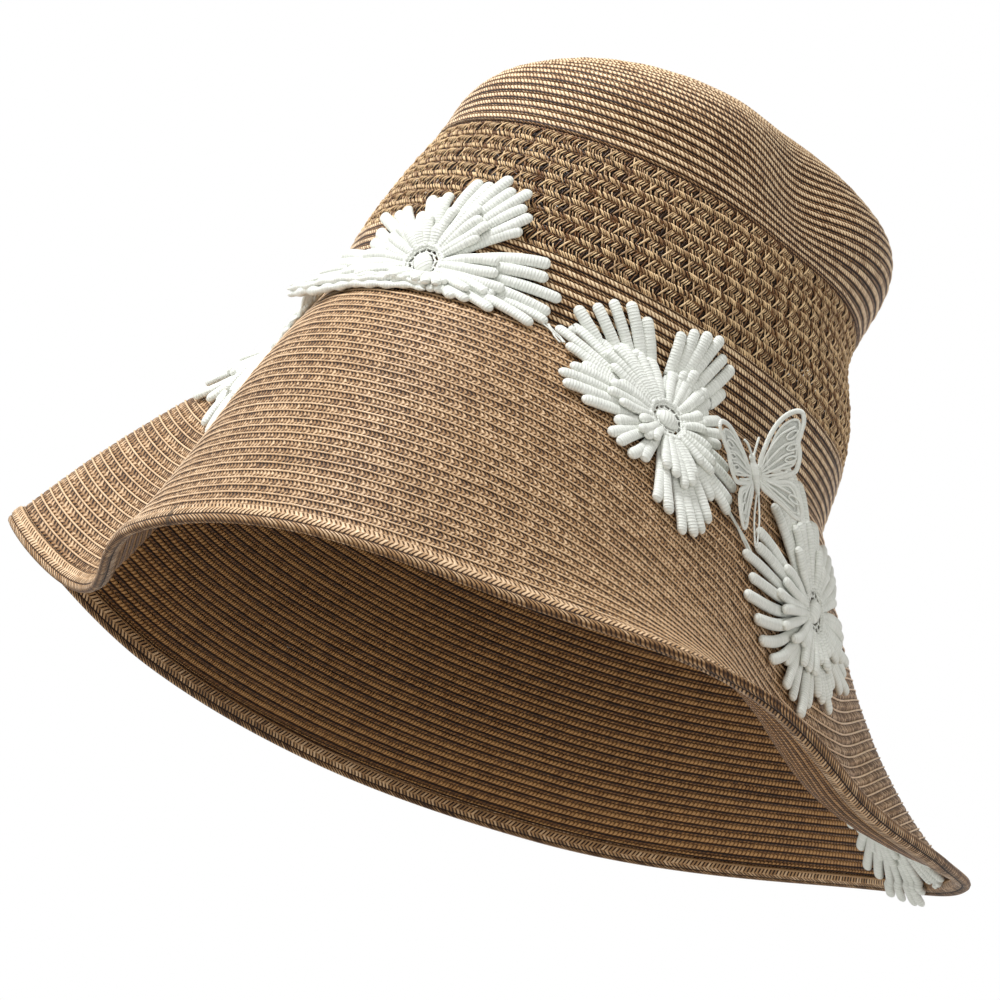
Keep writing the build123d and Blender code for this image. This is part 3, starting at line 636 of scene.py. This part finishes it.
def openwork_strands():
    """Strands of one motif: places along it and up it in shares of its size, stands, half width, tone."""
    # tones are higher for strands that stand further out and lower for those behind: painted light and shade,
    # with some variation within each pair
    strands = [
        ([0.00, 0.10, 0.20, 0.29], [-0.20, 0.0, 0.24, 0.44], [0.5, 0.95, 1.1, 0.5], 0.29, 1.0),
        ([0.06, 0.10, 0.16, 0.24], [0.46, 0.26, 0.03, -0.20], [0.6, 0.75, 0.7, 0.35], 0.27, 0.5),
        ([0.88, 0.92, 0.97, 1.05], [-0.30, -0.08, 0.18, 0.40], [0.0, 0.25, 0.3, 0.1], 0.25, -0.3),
    ]

    def add(x, along, y, up, stands, half, tone):
        strands.append((x + np.array(along), y + np.array(up), stands, half, tone))

    for k in range(V_PAIRS):
        x, y, shade = 0.19 + 0.112 * k, 0.10 - 0.022 * k, 0.35 * math.sin(2.4 * k)
        add(x, [0, 0.045, 0.11, 0.17], y, [0, 0.09, 0.20, 0.37], [0.3, 0.72, 0.8, 0.35], 0.235, 0.75 + shade)
        add(x, [0, 0.015, 0.05, 0.10], y, [0, -0.10, -0.22, -0.35], [0.3, 0.65, 0.72, 0.3], 0.235, 0.35 - shade)
    for k in range(LOWER_BARS):
        swell = math.sin(math.pi * (k + 0.5) / LOWER_BARS)
        high = 0.75 + 0.45 * swell
        add(0.01 + 0.111 * k, [0, 0.05, 0.12, 0.19], 0, [-0.25, -0.32, -0.43, -0.53],
            [high - 0.4, high, high, high - 0.4], 0.27, 0.1 + swell)
    for k in range(UPPER_BARS):
        add(0.03 + 0.143 * k, [0, 0.04, 0.11, 0.16], 0, [0.52, 0.47, 0.41, 0.35],
            [0.2, 0.5, 0.5, 0.2], 0.25, -0.2)
    return strands


def openwork_row(row):
    """Row of fancy openwork braid: motifs of slanting strands in front of cords along the row."""
    middle = SIDE_BRAID_RISE + (row + 0.5) * OPENWORK_PITCH
    round_hat = 2 * np.pi * row_radius(middle)[0]
    period = round_hat / OPENWORK_MOTIFS
    start = 0.37 * row * period + 3 * smooth_noise(row * 10.0, 5, 7.0)
    place = np.arange(OPENWORK_MOTIFS)
    parts, tones = [], []

    def add(along, level, stand, half_width, half_depth):
        point, normal, _ = hat_frame(along / round_hat * 360, middle + level * OPENWORK_PITCH)
        points = point + normal * np.asarray(stand)[..., None]
        parts.append(sweep(points, normal, half_width, half_depth, STRAND_CORNERS))

    t = np.linspace(0, 3, STRAND_POINTS)
    ends = np.interp(t, [0, 0.4, 2.6, 3], [0.75, 1, 1, 0.75])
    for number, (xs, ys, stands, half, bright) in enumerate(openwork_strands()):
        x, y, stand = [np.interp(t, range(4), values) for values in (xs, ys, stands)]
        jitter = 0.045 * smooth_noise(place * 13.0 + number * 7.1, row + 3, 3.0)[:, None]
        add((place[:, None] + x + jitter) * period + start, y + 0.5 * jitter, stand - 0.25,
            half * ends, 0.62 * half * ends)
        shade = bright + 0.8 * smooth_noise(place * 31.0 + number * 17.0, row, 5.0)
        tones.append(np.repeat(shade, STRAND_POINTS * STRAND_CORNERS))
    along = np.linspace(0, round_hat, OPENWORK_MOTIFS * 6 + 1)
    for level, wave_height, phase, stand, half_width, half_depth in OPENWORK_CORDS:
        level = level + wave_height * np.sin(along / period * 2 * np.pi + phase)
        add(along + start, level, stand, half_width, half_depth)
        # the cords behind the strands are painted darker, the deeper ones darker still: painted shade
        shade = (-1.3 if stand < -0.2 else -0.8) + 0.3 * smooth_noise(along, row + 9, 8.0)
        tones.append(np.repeat(shade, STRAND_CORNERS))
    points, faces, uv = join(*parts)
    mesh_piece(f"openwork_row_{row + 1}_strands", points, faces, uv, np.concatenate(tones), STRAND,
               node=(f"openwork_row_{row + 1}",))


# ---------------- rim, wire and sweatband

RIM_CLIMB, RIM_FOLD_WIDTH = -BRIM_WIDTH, 6.4
RIM_STATIONS = 620
# section of the folded rim braid in (climb, stand) points, from its inner edge round the rim and back
RIM_SECTION = np.array([
    (-120.6, 1.15), (-121.0, 1.75), (-121.9, 2.0), (-123.3, 2.05), (-124.5, 1.8), (-125.1, 1.2), (-125.5, 1.4),
    (-126.2, 1.3), (-126.8, 0.8), (-127.0, 0.0), (-126.8, -0.8), (-126.2, -1.3), (-125.5, -1.4), (-125.1, -1.2),
    (-124.5, -1.85), (-123.3, -2.05), (-121.9, -2.0), (-121.0, -1.75), (-120.6, -1.15), (-121.6, -0.95),
    (-123.6, 0.0), (-121.6, 0.95),
])
UNDERSIDE_STAND, UNDERSIDE_PAINTED_SHADE = -0.9, -2.6    # where the painted shade on the rim's underside begins, and how dark it is painted
WIRE_CLIMB, WIRE_HALF = -124.9, 0.6
WIRE_JOIN_AZIMUTH, WIRE_END_GAP = 183.75, 0.3   # middle of the sleeve, and degrees between the wire's ends
SWEATBAND_LOW, SWEATBAND_HIGH = 0.8, 28.4
SWEATBAND_OUTSIDE, SWEATBAND_INSIDE = -1.28, -1.72    # stands of its two faces
SWEATBAND_STATIONS, SWEATBAND_LEVELS = 240, 9


def rim():
    azimuth = np.arange(RIM_STATIONS) * 360.0 / RIM_STATIONS
    climb, stand = RIM_SECTION.T
    points = straw_point(azimuth[:, None], climb, stand)
    run = run_along(hat_point(azimuth, RIM_CLIMB))
    v = np.clip(np.abs(climb - RIM_CLIMB) / RIM_FOLD_WIDTH, 0, 1) * np.sign(stand)
    # the rim's underside is painted darker: a painted shade on top of the random tone
    tone = smooth_noise(run, 4, 30.0)[:, None] + np.where(stand < UNDERSIDE_STAND, UNDERSIDE_PAINTED_SHADE, 0.0)
    mesh_piece("rim_fold", points, strip_faces(RIM_STATIONS, len(climb), True), grid(run, v), tone.ravel(),
               RIM_STRAW, node=("rim_braid",))


def brim_wire():
    """Wire ring inside the rim's fold, with its two ends a little apart in the sleeve."""
    turn = np.linspace(WIRE_END_GAP / 2, 360.0 - WIRE_END_GAP / 2, RIM_STATIONS)
    points, normals, _ = hat_frame(WIRE_JOIN_AZIMUTH + turn, WIRE_CLIMB)
    points, faces, uv = sweep(points, normals, WIRE_HALF, WIRE_HALF, corners=12)
    mesh_piece("brim_wire_ring", points, faces, uv, 0.0, STEEL, node=("brim_wire",))
    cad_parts["wire_sleeve"].data.materials[0] = STEEL


def sweatband():
    """Woven ribbon sewn in along its lower edge, with its ends meeting at the back."""
    azimuth = (180.0 + np.linspace(0, 360, SWEATBAND_STATIONS))[:, None]
    levels = np.linspace(SWEATBAND_LOW, SWEATBAND_HIGH, SWEATBAND_LEVELS)
    ripple = 0.12 * smooth_noise(azimuth * 1.6, 7, 9.0) * np.linspace(0.2, 1, SWEATBAND_LEVELS)
    outside = straw_point(azimuth, levels, ripple + SWEATBAND_OUTSIDE)
    inside = straw_point(azimuth, levels[::-1], ripple[:, ::-1] + SWEATBAND_INSIDE)
    points = np.concatenate([outside, inside], axis=1)
    run = run_along(outside[:, SWEATBAND_LEVELS // 2])
    uv = grid(run, np.concatenate([levels, levels[::-1]]) / 28.0)
    corners = 2 * SWEATBAND_LEVELS
    lid = np.array([[k, corners - 1 - k, corners - 2 - k, k + 1] for k in range(SWEATBAND_LEVELS - 1)])
    lids = np.concatenate([lid, lid[:, ::-1] + (SWEATBAND_STATIONS - 1) * corners])
    faces = np.concatenate([strip_faces(SWEATBAND_STATIONS, corners), lids])
    piece = mesh_piece("sweatband_ribbon", points, faces, uv, 0.0, RIBBON, node=("sweatband",))


# ---------------- lace flowers

# flowers: azimuth, climb, turn of the petals, 1 or -1 for a mirrored motif, side of the straw, lowest climb
FLOWERS = {
    "flower_front": (0.0, 5.0, -7.0, -1, 1, -9.0),
    "flower_left_front": (51.5, -19.0, 142.0, 1, 1, -BRIM_WIDTH),
    "flower_left_back": (99.5, -36.0, 195.0, 1, 1, -BRIM_WIDTH),
    "flower_right_front": (-53.5, -17.0, 300.0, -1, 1, -BRIM_WIDTH),
    "flower_under_brim": (146.0, 41.0 - BRIM_WIDTH, 300.0, 1, -1, -2.0 - BRIM_WIDTH),
}
# lobes of the motif: middle angle, half spread, reach, long petals, short petals over them
LOBES = [
    (0.0, 25.0, 47.0, 8, 6), (47.0, 16.0, 35.0, 5, 4), (98.0, 18.0, 26.0, 5, 4), (151.0, 19.0, 37.0, 6, 5),
    (200.0, 16.0, 33.0, 5, 4), (246.0, 14.0, 27.0, 4, 3), (292.0, 22.0, 42.0, 7, 6),
]
# the front motif is pulled along the seam and folded under, so its lobes lie a little differently
FRONT_LOBES = [
    (0.0, 25.0, 46.0, 8, 6), (47.0, 16.0, 35.0, 5, 4), (98.0, 18.0, 26.0, 5, 4), (155.0, 20.0, 47.0, 7, 6),
    (202.0, 16.0, 32.0, 5, 4), (246.0, 15.0, 27.0, 5, 3), (292.0, 23.0, 39.0, 8, 6),
]
# layers: share of a lobe's spread and of its reach, half width, stand at the root and its rise to the tip
LAYERS = {"long": (1.0, 1.0, 2.02, 0.8, 0.9), "short": (0.86, 0.62, 1.8, 2.3, 1.7)}
PETAL_ROOT = 5.6
SHORTER_AT_SIDES = 0.16       # how much shorter a lobe's outermost petals are
HEM_SLOPE = 0.121             # how much the front motif's hem drops for each millimetre to its left
LACE_OVER_STRAW, LACE_OVER_FOLD = 1.05, 2.25    # stand of the lace's back on a row and on the folded rim
# bars of the front motif's hem: how far below its line, stand, half width, phase of its waves
HEM_BARS = [(0.5, 1.6, 1.8, 0.0), (-0.8, 3.1, 1.5, 2.0), (-2.6, 3.3, 1.3, 4.0)]
HEM_START, HEM_TURN = -26.0, 31.0
EYELET_RINGS = [(6.6, 2.9, 0.75), (5.5, 2.6, 0.45), (4.0, 2.3, 0.35)]    # radius, stand, half width
EYELET_BARS = 13
BUTTON_LENGTH, BUTTON_HALF_WIDTH = 7.4, 3.3


def stand_off(left):
    """How far the front motif's stiff left lobes stand off the brim as it curves away under them."""
    return np.maximum(left - 14.0, 0.0) ** 2 / 190.0


def lace_point(flower, angle, reach, stand):
    """Point and outward direction at a polar place of a motif."""
    azimuth, climb, turn, mirror, side, hem = FLOWERS[flower]
    a = np.radians(turn + mirror * angle)
    radius = np.hypot(*hat_point(azimuth, climb)[:2])
    place, level = azimuth + np.degrees(reach * np.cos(a) / radius), climb + reach * np.sin(a)
    level = np.maximum(level, hem - 0.8 - HEM_SLOPE * np.maximum(-reach * np.cos(a), 0.0))
    point, normal, _ = hat_frame(place, level)
    straw = np.where(level < FOLD_INNER_EDGE, LACE_OVER_FOLD, LACE_OVER_STRAW)
    if flower == "flower_front":
        straw = straw + stand_off(-reach * np.cos(a))
    return point + normal * (side * (straw + stand))[..., None], normal * side


def petals(flower, layer):
    """Satin bars of one layer: they part from one another halfway out and have full round tips."""
    spread_share, reach_share, full, base, rise = LAYERS[layer]
    _, climb, turn, mirror, _, hem = FLOWERS[flower]
    bars = []
    for number, lobe in enumerate(FRONT_LOBES if flower == "flower_front" else LOBES):
        middle, spread, reach, long_count, short_count = lobe
        count = long_count if layer == "long" else short_count
        spread, reach = spread * spread_share, reach * reach_share
        for k in range(count):
            share = 2 * k / (count - 1) - 1
            tip = middle + spread * share
            wobble = math.sin(9.1 * k + 3.3 * number + 1.7 * len(flower))
            heading = math.radians(turn + mirror * tip)
            down = max(HEM_SLOPE * min(math.cos(heading), 0.0) - math.sin(heading), 1e-3)
            free = reach * (1 - SHORTER_AT_SIDES * share * share) * (1 + 0.045 * wobble)
            bars.append((middle + 1.15 * spread * share, tip, min(free, (climb - hem) / down)))
    root, tip, length = np.array(bars).T[..., None]
    t = 1 - (1 - np.linspace(0, 1, 24)) ** 1.5
    angle = root + (tip - root) * t + 70.0 / length * np.sin(np.pi * t) * np.sin(5.3 * tip)
    reach = PETAL_ROOT + (length - PETAL_ROOT) * t
    in_turn = 0.4 * (np.arange(len(bars)) % 2)[:, None]
    tuck = 0.5 * np.clip((t - 0.8) / 0.2, 0, 1) ** 2
    stand = base + in_turn + rise * t ** 1.6 + 0.35 * np.sin(np.pi * t) - tuck
    point, normal = lace_point(flower, angle, reach, stand)
    shape = np.interp(t, [0, 0.12, 0.35, 0.7, 0.9], [0.5, 0.66, 0.9, 1.0, 0.97])
    to_tip = np.clip((1 - t) * (length - PETAL_ROOT) / (0.95 * full), 0, 1)
    blunt = np.sqrt(np.clip(1 - (1 - to_tip) ** 2, 0.02, 1))
    half = full * shape * blunt * (1 + 0.05 * np.sin(3.7 * tip))
    return sweep(point, normal, half, half * 0.68, corners=12)


def hem_roll(flower):
    """Folded lower edge of a motif, rolled under from its left tip to below its middle."""
    azimuth, climb, _, _, _, hem = FLOWERS[flower]
    share = np.linspace(0, 1, 70)
    place = azimuth + HEM_START + HEM_TURN * share
    left = -np.radians(place - azimuth) * np.hypot(*hat_point(azimuth, hem)[:2])
    line = hem - HEM_SLOPE * np.maximum(left, 0.0)
    taper = np.sqrt(np.clip(1 - (2 * share - 1) ** 8, 0.05, 1)) * (1 - 0.35 * share)
    bars = []
    for down, out, half, phase in HEM_BARS:
        sag = 0.4 * np.sin(place * 0.47 + phase) + 0.25 * np.sin(place * 1.13 + phase)
        point, normal, _ = hat_frame(place, line - down + 0.7 * sag)
        points = point + normal * (LACE_OVER_STRAW + out + 0.35 * sag + stand_off(left))[:, None]
        wide = half * taper * (1 + 0.2 * np.sin(place * 1.9 + phase))
        bars.append(sweep(points, normal, wide, 0.8 * wide, corners=12))
    return bars


def eyelet(flower):
    """Rings round a flower's middle, and the small bars that reach from them to the padded button."""
    turns = np.linspace(0, 360, 49)
    bars = []
    for radius, stand, half in EYELET_RINGS:
        reach = radius + 0.18 * np.sin(np.radians(turns) * 9)
        point, normal = lace_point(flower, turns, reach, stand)
        bars.append(sweep(point, normal, half, half * 0.8, corners=8))
    reach, angle = np.meshgrid(np.linspace(3.6, 6.0, 4), np.arange(EYELET_BARS) * 360 / EYELET_BARS)
    point, normal = lace_point(flower, angle, reach, 2.3)
    bars.append(sweep(point, normal, 0.36, 0.3))
    return bars


def button(flower):
    """Padded oval of satin stitch, as one bar after another across it."""
    t = np.linspace(-1, 1, 26)
    half = BUTTON_HALF_WIDTH * np.sqrt(np.clip(1 - t ** 2 * 0.985, 0.01, 1)) ** 0.85
    high = 1.0 + 1.3 * np.sqrt(np.clip(1 - t ** 2, 0, 1))
    angle = np.where(t < 0, 40.0, 220.0)
    point, normal = lace_point(flower, angle, np.abs(t) * BUTTON_LENGTH / 2, high)
    return sweep(point, normal, half, 0.6 + 0.42 * half, corners=16)


def flowers():
    for flower in FLOWERS:
        hem = hem_roll(flower) if flower == "flower_front" else []
        lace_piece(f"{flower}_long_satin", [petals(flower, "long"), *hem], LACE, (f"{flower}_long_petals",))
        lace_piece(f"{flower}_short_satin", [petals(flower, "short"), *eyelet(flower)], LACE,
                   (f"{flower}_short_petals",))
        lace_piece(f"{flower}_satin_button", [button(flower)], LACE, (f"{flower}_button",), tone=1.0)


# ---------------- lace links

PART_PETALS = (6, 3, 4, 4, 4, 3, 5)    # long petals of each lobe in the part, where the links are tied on
THREADS = (3, 0.8, 0.32, 0.0)          # number, spacing, half thickness, rise between the motifs
# the right link bridges the fold beside the front bulge as a band of satin bars
BAND = (5, 1.7, 0.95, 3.2)
LINKS = {
    "lace_link_right": (("flower_front", 3, 2), ("flower_right_front", 6, 2), BAND),
    "lace_link_front": (("flower_front", 0, 3), ("flower_left_front", 0, 5), THREADS),
    "lace_link_left": (("flower_left_front", 4, 1), ("flower_left_back", 0, 1), THREADS),
}
LINK_STAND = 2.1


def lobe_tip(flower, lobe, number):
    """Azimuth and climb of a long petal's tip in the part, where threads are tied on."""
    middle, spread, reach, _, _ = LOBES[lobe]
    azimuth, climb, turn, mirror, _, _ = FLOWERS[flower]
    share = 2 * number / (PART_PETALS[lobe] - 1) - 1
    a = math.radians(turn + mirror * (middle + 0.95 * spread * share))
    reach = reach * (1 - SHORTER_AT_SIDES * share * share) + 0.4
    radius = math.hypot(*hat_point(azimuth, climb)[:2])
    return np.array([azimuth + math.degrees(reach * math.cos(a) / radius), climb + reach * math.sin(a)])


def lace_link(name):
    """Threads or satin bars between two petal tips, drawn together halfway."""
    first, last, (count, spacing, half, rise) = LINKS[name]
    first, last = lobe_tip(*first), lobe_tip(*last)
    outward = hat_frame(*(first + last) / 2)[1]
    threads = []
    for number in range(count):
        offset, phase = spacing * (number - (count - 1) / 2), 2.0 * number
        places = []
        for share in np.linspace(-0.12, 1.12, 7):
            azimuth, climb = first + (last - first) * share
            sideways = offset * (0.5 + abs(share - 0.5)) + 0.25 * math.sin(6 * share + phase)
            stand = LINK_STAND + rise * math.sin(math.pi * min(max(share, 0.0), 1.0))
            places.append(straw_point(azimuth + 0.5 * sideways, climb + 0.6 * sideways, stand))
        threads.append(cord(places, half, outward, corners=6 if half < 0.5 else 10))
    lace_piece(f"{name}_threads", threads, LACE_CORD, (name,))


# ---------------- butterfly

# ends of the body: azimuth, climb, height over the straw
BUTTERFLY_TAIL, BUTTERFLY_HEAD = (74.5, -22.0, 4.4), (70.0, -13.0, 7.0)
BUTTERFLY_TILT, WING_ROOT, WING_REST_LIFT = 8.0, 2.3, 20.0
BODY_GIRTH = [(-1, 0.35), (-0.9, 0.62), (-0.45, 1.15), (0, 1.45), (0.4, 1.35), (0.62, 0.85), (0.8, 1.15),
              (0.95, 0.85), (1, 0.35)]
FEELER = [(0.3, 0.0, 0.3), (1.0, 1.6, 0.7), (2.3, 4.2, 1.1), (3.5, 5.6, 1.0)]    # on from the top of the head
TAIL_THREAD_STAND = 4.9
OUTLINE_STEPS = 6             # for each point of a wing's outlines and veins
# outlines, veins and loops of a wing: along it and up it from its root
FORE_WING = [
    (0.0, -2.6), (0.0, 3.0), (2.8, 8.2), (6.6, 13.2), (11.0, 16.8), (15.6, 18.4), (18.6, 17.8), (18.8, 14.8),
    (16.8, 10.6), (15.4, 8.0), (15.4, 4.8), (14.4, 1.4), (12.2, -1.6), (6.5, -2.4),
]
HIND_WING = [
    (0.0, -1.0), (5.0, -3.0), (9.6, -3.6), (12.0, -6.6), (13.0, -11.6), (12.6, -15.6), (10.0, -15.4),
    (5.8, -10.4), (0.0, -4.4),
]
WING_VEINS = [
    [(0.2, 1.6), (4.4, 7.0), (9.4, 11.2), (14.8, 13.0)], [(0.2, 1.0), (5.0, 4.8), (9.6, 7.6), (14.0, 8.6)],
    [(0.2, 0.4), (5.2, 2.6), (9.6, 4.6), (13.0, 5.2)], [(0.2, -0.2), (5.0, 0.6), (9.2, 1.8), (12.6, 2.0)],
    [(0.2, -0.8), (5.0, -0.9), (9.6, -0.6)], [(0.2, -1.6), (4.6, -4.0), (9.4, -7.4)],
    [(0.2, -2.2), (4.4, -5.8), (10.2, -11.8)], [(0.2, -2.8), (3.6, -6.6), (8.6, -12.6)],
]
# loops between the veins: middle, turn, half length
WING_LOOPS = [((13.2, 10.6), 24, 2.2), ((12.6, 6.8), 12, 2.0), ((11.4, 3.2), 4, 2.0), ((10.4, -9.6), -44, 2.2)]


def butterfly_frame():
    """Middle of the body, its right, its outward direction, towards its head, and half its length."""
    tail, head = [straw_point(azimuth, climb, BRAID_THICKNESS / 2 + stand)
                  for azimuth, climb, stand in (BUTTERFLY_TAIL, BUTTERFLY_HEAD)]
    up = unit(head - tail)
    east = hat_frame(*BUTTERFLY_TAIL[:2])[2]
    level = unit(east - up * (east @ up))
    tilt = math.radians(BUTTERFLY_TILT)
    across = level * math.cos(tilt) + np.cross(level, up) * math.sin(tilt)
    return (tail + head) / 2, across, np.cross(across, up), up, np.linalg.norm(head - tail) / 2


BODY_MIDDLE, BODY_RIGHT, BODY_OUT, BODY_UP, BODY_HALF = butterfly_frame()


def body_place(x, y, z):
    return BODY_MIDDLE + BODY_RIGHT * x + BODY_UP * y + BODY_OUT * z


def butterfly_body():
    """Padded body, feelers, and the two threads that tie its tail to the flower behind it."""
    t = np.linspace(-1, 1, 25)
    half = np.interp(t, *zip(*BODY_GIRTH))
    bars = [sweep(body_place(0.0, t[:, None] * BODY_HALF, 0.0), BODY_OUT, half, half * 0.95, corners=14)]
    for side in (-1, 1):
        feeler = [body_place(side * x, 0.85 * BODY_HALF + y, z) for x, y, z in FEELER]
        bars.append(cord(feeler, 0.42, BODY_OUT))
    stitch = straw_point(*lobe_tip("flower_left_back", 0, 1), TAIL_THREAD_STAND)
    for offset in (-0.45, 0.45):
        start = body_place(offset, -0.9 * BODY_HALF, -0.2)
        middle = (start + stitch) / 2 + BODY_RIGHT * offset * 2.2
        bars.append(cord([start, middle, stitch + BODY_RIGHT * offset], 0.34, BODY_OUT, corners=6))
    lace_piece("butterfly_satin_body", bars, LACE_CORD, ("butterfly_body",))


def wing(side):
    """Satin borders, veins and loops of a fore and a hind wing, and the fine stitches that fill them."""
    lift = math.radians(WING_REST_LIFT)
    root = body_place(side * WING_ROOT, 0.0, 0.0)
    out = BODY_RIGHT * (side * math.cos(lift)) + BODY_OUT * math.sin(lift)
    normal = np.cross(out, BODY_UP) * side

    def place(flat, height=0.0):
        return root + flat[..., :1] * out + flat[..., 1:] * BODY_UP + height * normal

    def bar(flat, half, height=0.0, closed=False, depth=0.8):
        if closed:
            flat = np.concatenate([flat, flat[:2]])
        return sweep(place(flat, height), normal, half, half * depth, corners=8)

    fills, bars = [], []
    shares = np.linspace(0.12, 1.0, 7)
    for outline, centre, stitches in ((FORE_WING, (0.3, 1.0), 44), (HIND_WING, (0.4, -1.0), 32)):
        edge = rounded(outline, OUTLINE_STEPS * len(outline), closed=True)
        middle = edge.mean(axis=0)
        inner = edge + (middle - edge) * 0.3
        bars.append(bar(edge + (middle - edge) * 0.06, 0.85, 0.15, closed=True, depth=0.55))
        bars.append(bar(inner, 0.42, 0.25, closed=True))
        ring = inner[np.linspace(0, len(inner) - 1, stitches).astype(int)]
        points = place(centre + (ring[:, None] - centre) * shares[:, None])
        widths = np.linspace(0.10, 0.34, len(shares))
        fills.append(sweep(points, normal, widths, widths * 0.4 + 0.04))
    bars += [bar(rounded(vein, OUTLINE_STEPS * len(vein)), 0.44, 0.42) for vein in WING_VEINS]
    a = np.radians(np.arange(0, 360, 20))
    for middle, turn, size in WING_LOOPS:
        c, s = math.cos(math.radians(turn)), math.sin(math.radians(turn))
        loop = np.stack([np.cos(a), 0.42 * np.sin(a)], axis=1) * size @ [(c, s), (-s, c)] + middle
        bars.append(bar(loop, 0.36, 0.5, closed=True))
    bars.append(bar(np.stack([np.zeros(12), np.linspace(-4.4, 3.2, 12)], axis=1), 0.5))
    return bars, fills


def butterfly():
    butterfly_body()
    for side, name in ((-1, "left"), (1, "right")):
        bars, fills = wing(side)
        body = f"{name}_wing"
        lace_piece(f"butterfly_{name}_wing_satin", bars, LACE_CORD, (f"butterfly_{name}_wing",), body=body)
        lace_piece(f"butterfly_{name}_wing_filling", fills, LACE_FILL, body=body)


# ---------------- studio

FLOOR_HALF, FLOOR_LEVEL = 4.0, -0.8    # metres, as all the lengths below
KEY_LAMP, SIDE_LAMP = (-0.62, -1.15, 1.7), (-1.6, -0.9, 0.35)
VIEW_AZIMUTH, VIEW_ELEVATION, VIEW_ROLL = 38.0, -14.0, 24.0
VIEW_AIM = (-0.012, -0.033)            # to the right and up in the view before the roll
VIEW_DISTANCE, LENS, SENSOR = 1.3, 140.4, 36.0


def lamp(name, place, aim, size, power, tint=(1.0, 1.0, 1.0)):
    light = bpy.data.lights.new(name, "AREA")
    light.shape, light.size, light.energy, light.color = "DISK", size, power, tint
    made = bpy.data.objects.new(name, light)
    bpy.context.scene.collection.objects.link(made)
    made.location = place
    made.rotation_euler = (Vector(aim) - Vector(place)).to_track_quat("-Z", "Y").to_euler()


def floor():
    corners = [(x * FLOOR_HALF, y * FLOOR_HALF, FLOOR_LEVEL) for x, y in ((-1, -1), (1, -1), (1, 1), (-1, 1))]
    mesh = bpy.data.meshes.new("floor")
    mesh.from_pydata(corners, [], [(0, 1, 2, 3)])
    mesh.materials.append(Shader("floor").finish(colour("D8D8D6"), 0.9))
    made = bpy.data.objects.new("floor", mesh)
    bpy.context.scene.collection.objects.link(made)


def studio():
    """Pale floor, white light from below and the sides that fades upwards, and two lamps."""
    floor()
    world = bpy.data.worlds.new("studio")
    world.use_nodes = True
    nodes, link = world.node_tree.nodes, world.node_tree.links.new
    place, height, fade = map(nodes.new, ("ShaderNodeTexCoord", "ShaderNodeSeparateXYZ", "ShaderNodeValToRGB"))
    link(place.outputs["Generated"], height.inputs[0])
    link(height.outputs["Z"], fade.inputs[0])
    link(fade.outputs[0], nodes["Background"].inputs[0])
    low, high = fade.color_ramp.elements
    low.position, low.color = 0.42, (1.0, 1.0, 1.0, 1.0)
    high.position, high.color = 0.72, (0.29, 0.275, 0.235, 1.0)
    bpy.context.scene.world = world
    bpy.context.scene.view_settings.view_transform = "Standard"
    lamp("key", KEY_LAMP, (0, 0, 0.02), 0.55, 48.5, (0.98, 1.0, 1.03))
    lamp("side", SIDE_LAMP, (0, 0, 0), 0.9, 9.0)


def camera():
    azimuth, elevation, roll = map(math.radians, (VIEW_AZIMUTH, VIEW_ELEVATION, VIEW_ROLL))
    flat = math.cos(elevation)
    back = Vector((math.sin(azimuth) * flat, -math.cos(azimuth) * flat, math.sin(elevation)))
    level = (-back).cross(Vector((0, 0, 1))).normalized()
    above = level.cross(-back)
    target = level * VIEW_AIM[0] + above * VIEW_AIM[1]
    right = level * math.cos(roll) + above * math.sin(roll)
    top = above * math.cos(roll) - level * math.sin(roll)
    lens = bpy.data.cameras.new("camera")
    lens.lens, lens.sensor_width, lens.clip_start = LENS, SENSOR, 0.05
    made = bpy.data.objects.new("camera", lens)
    bpy.context.scene.collection.objects.link(made)
    turned = Matrix((right, top, back)).transposed().to_4x4()
    made.matrix_world = Matrix.Translation(target + back * VIEW_DISTANCE) @ turned
    bpy.context.scene.camera = made


# ---------------- the hat in its studio

close_rows()
for number in range(OPENWORK_ROWS):
    openwork_row(number)
rim()
sweatband()
flowers()
for name in LINKS:
    lace_link(name)
butterfly()
brim_wire()
studio()
camera()
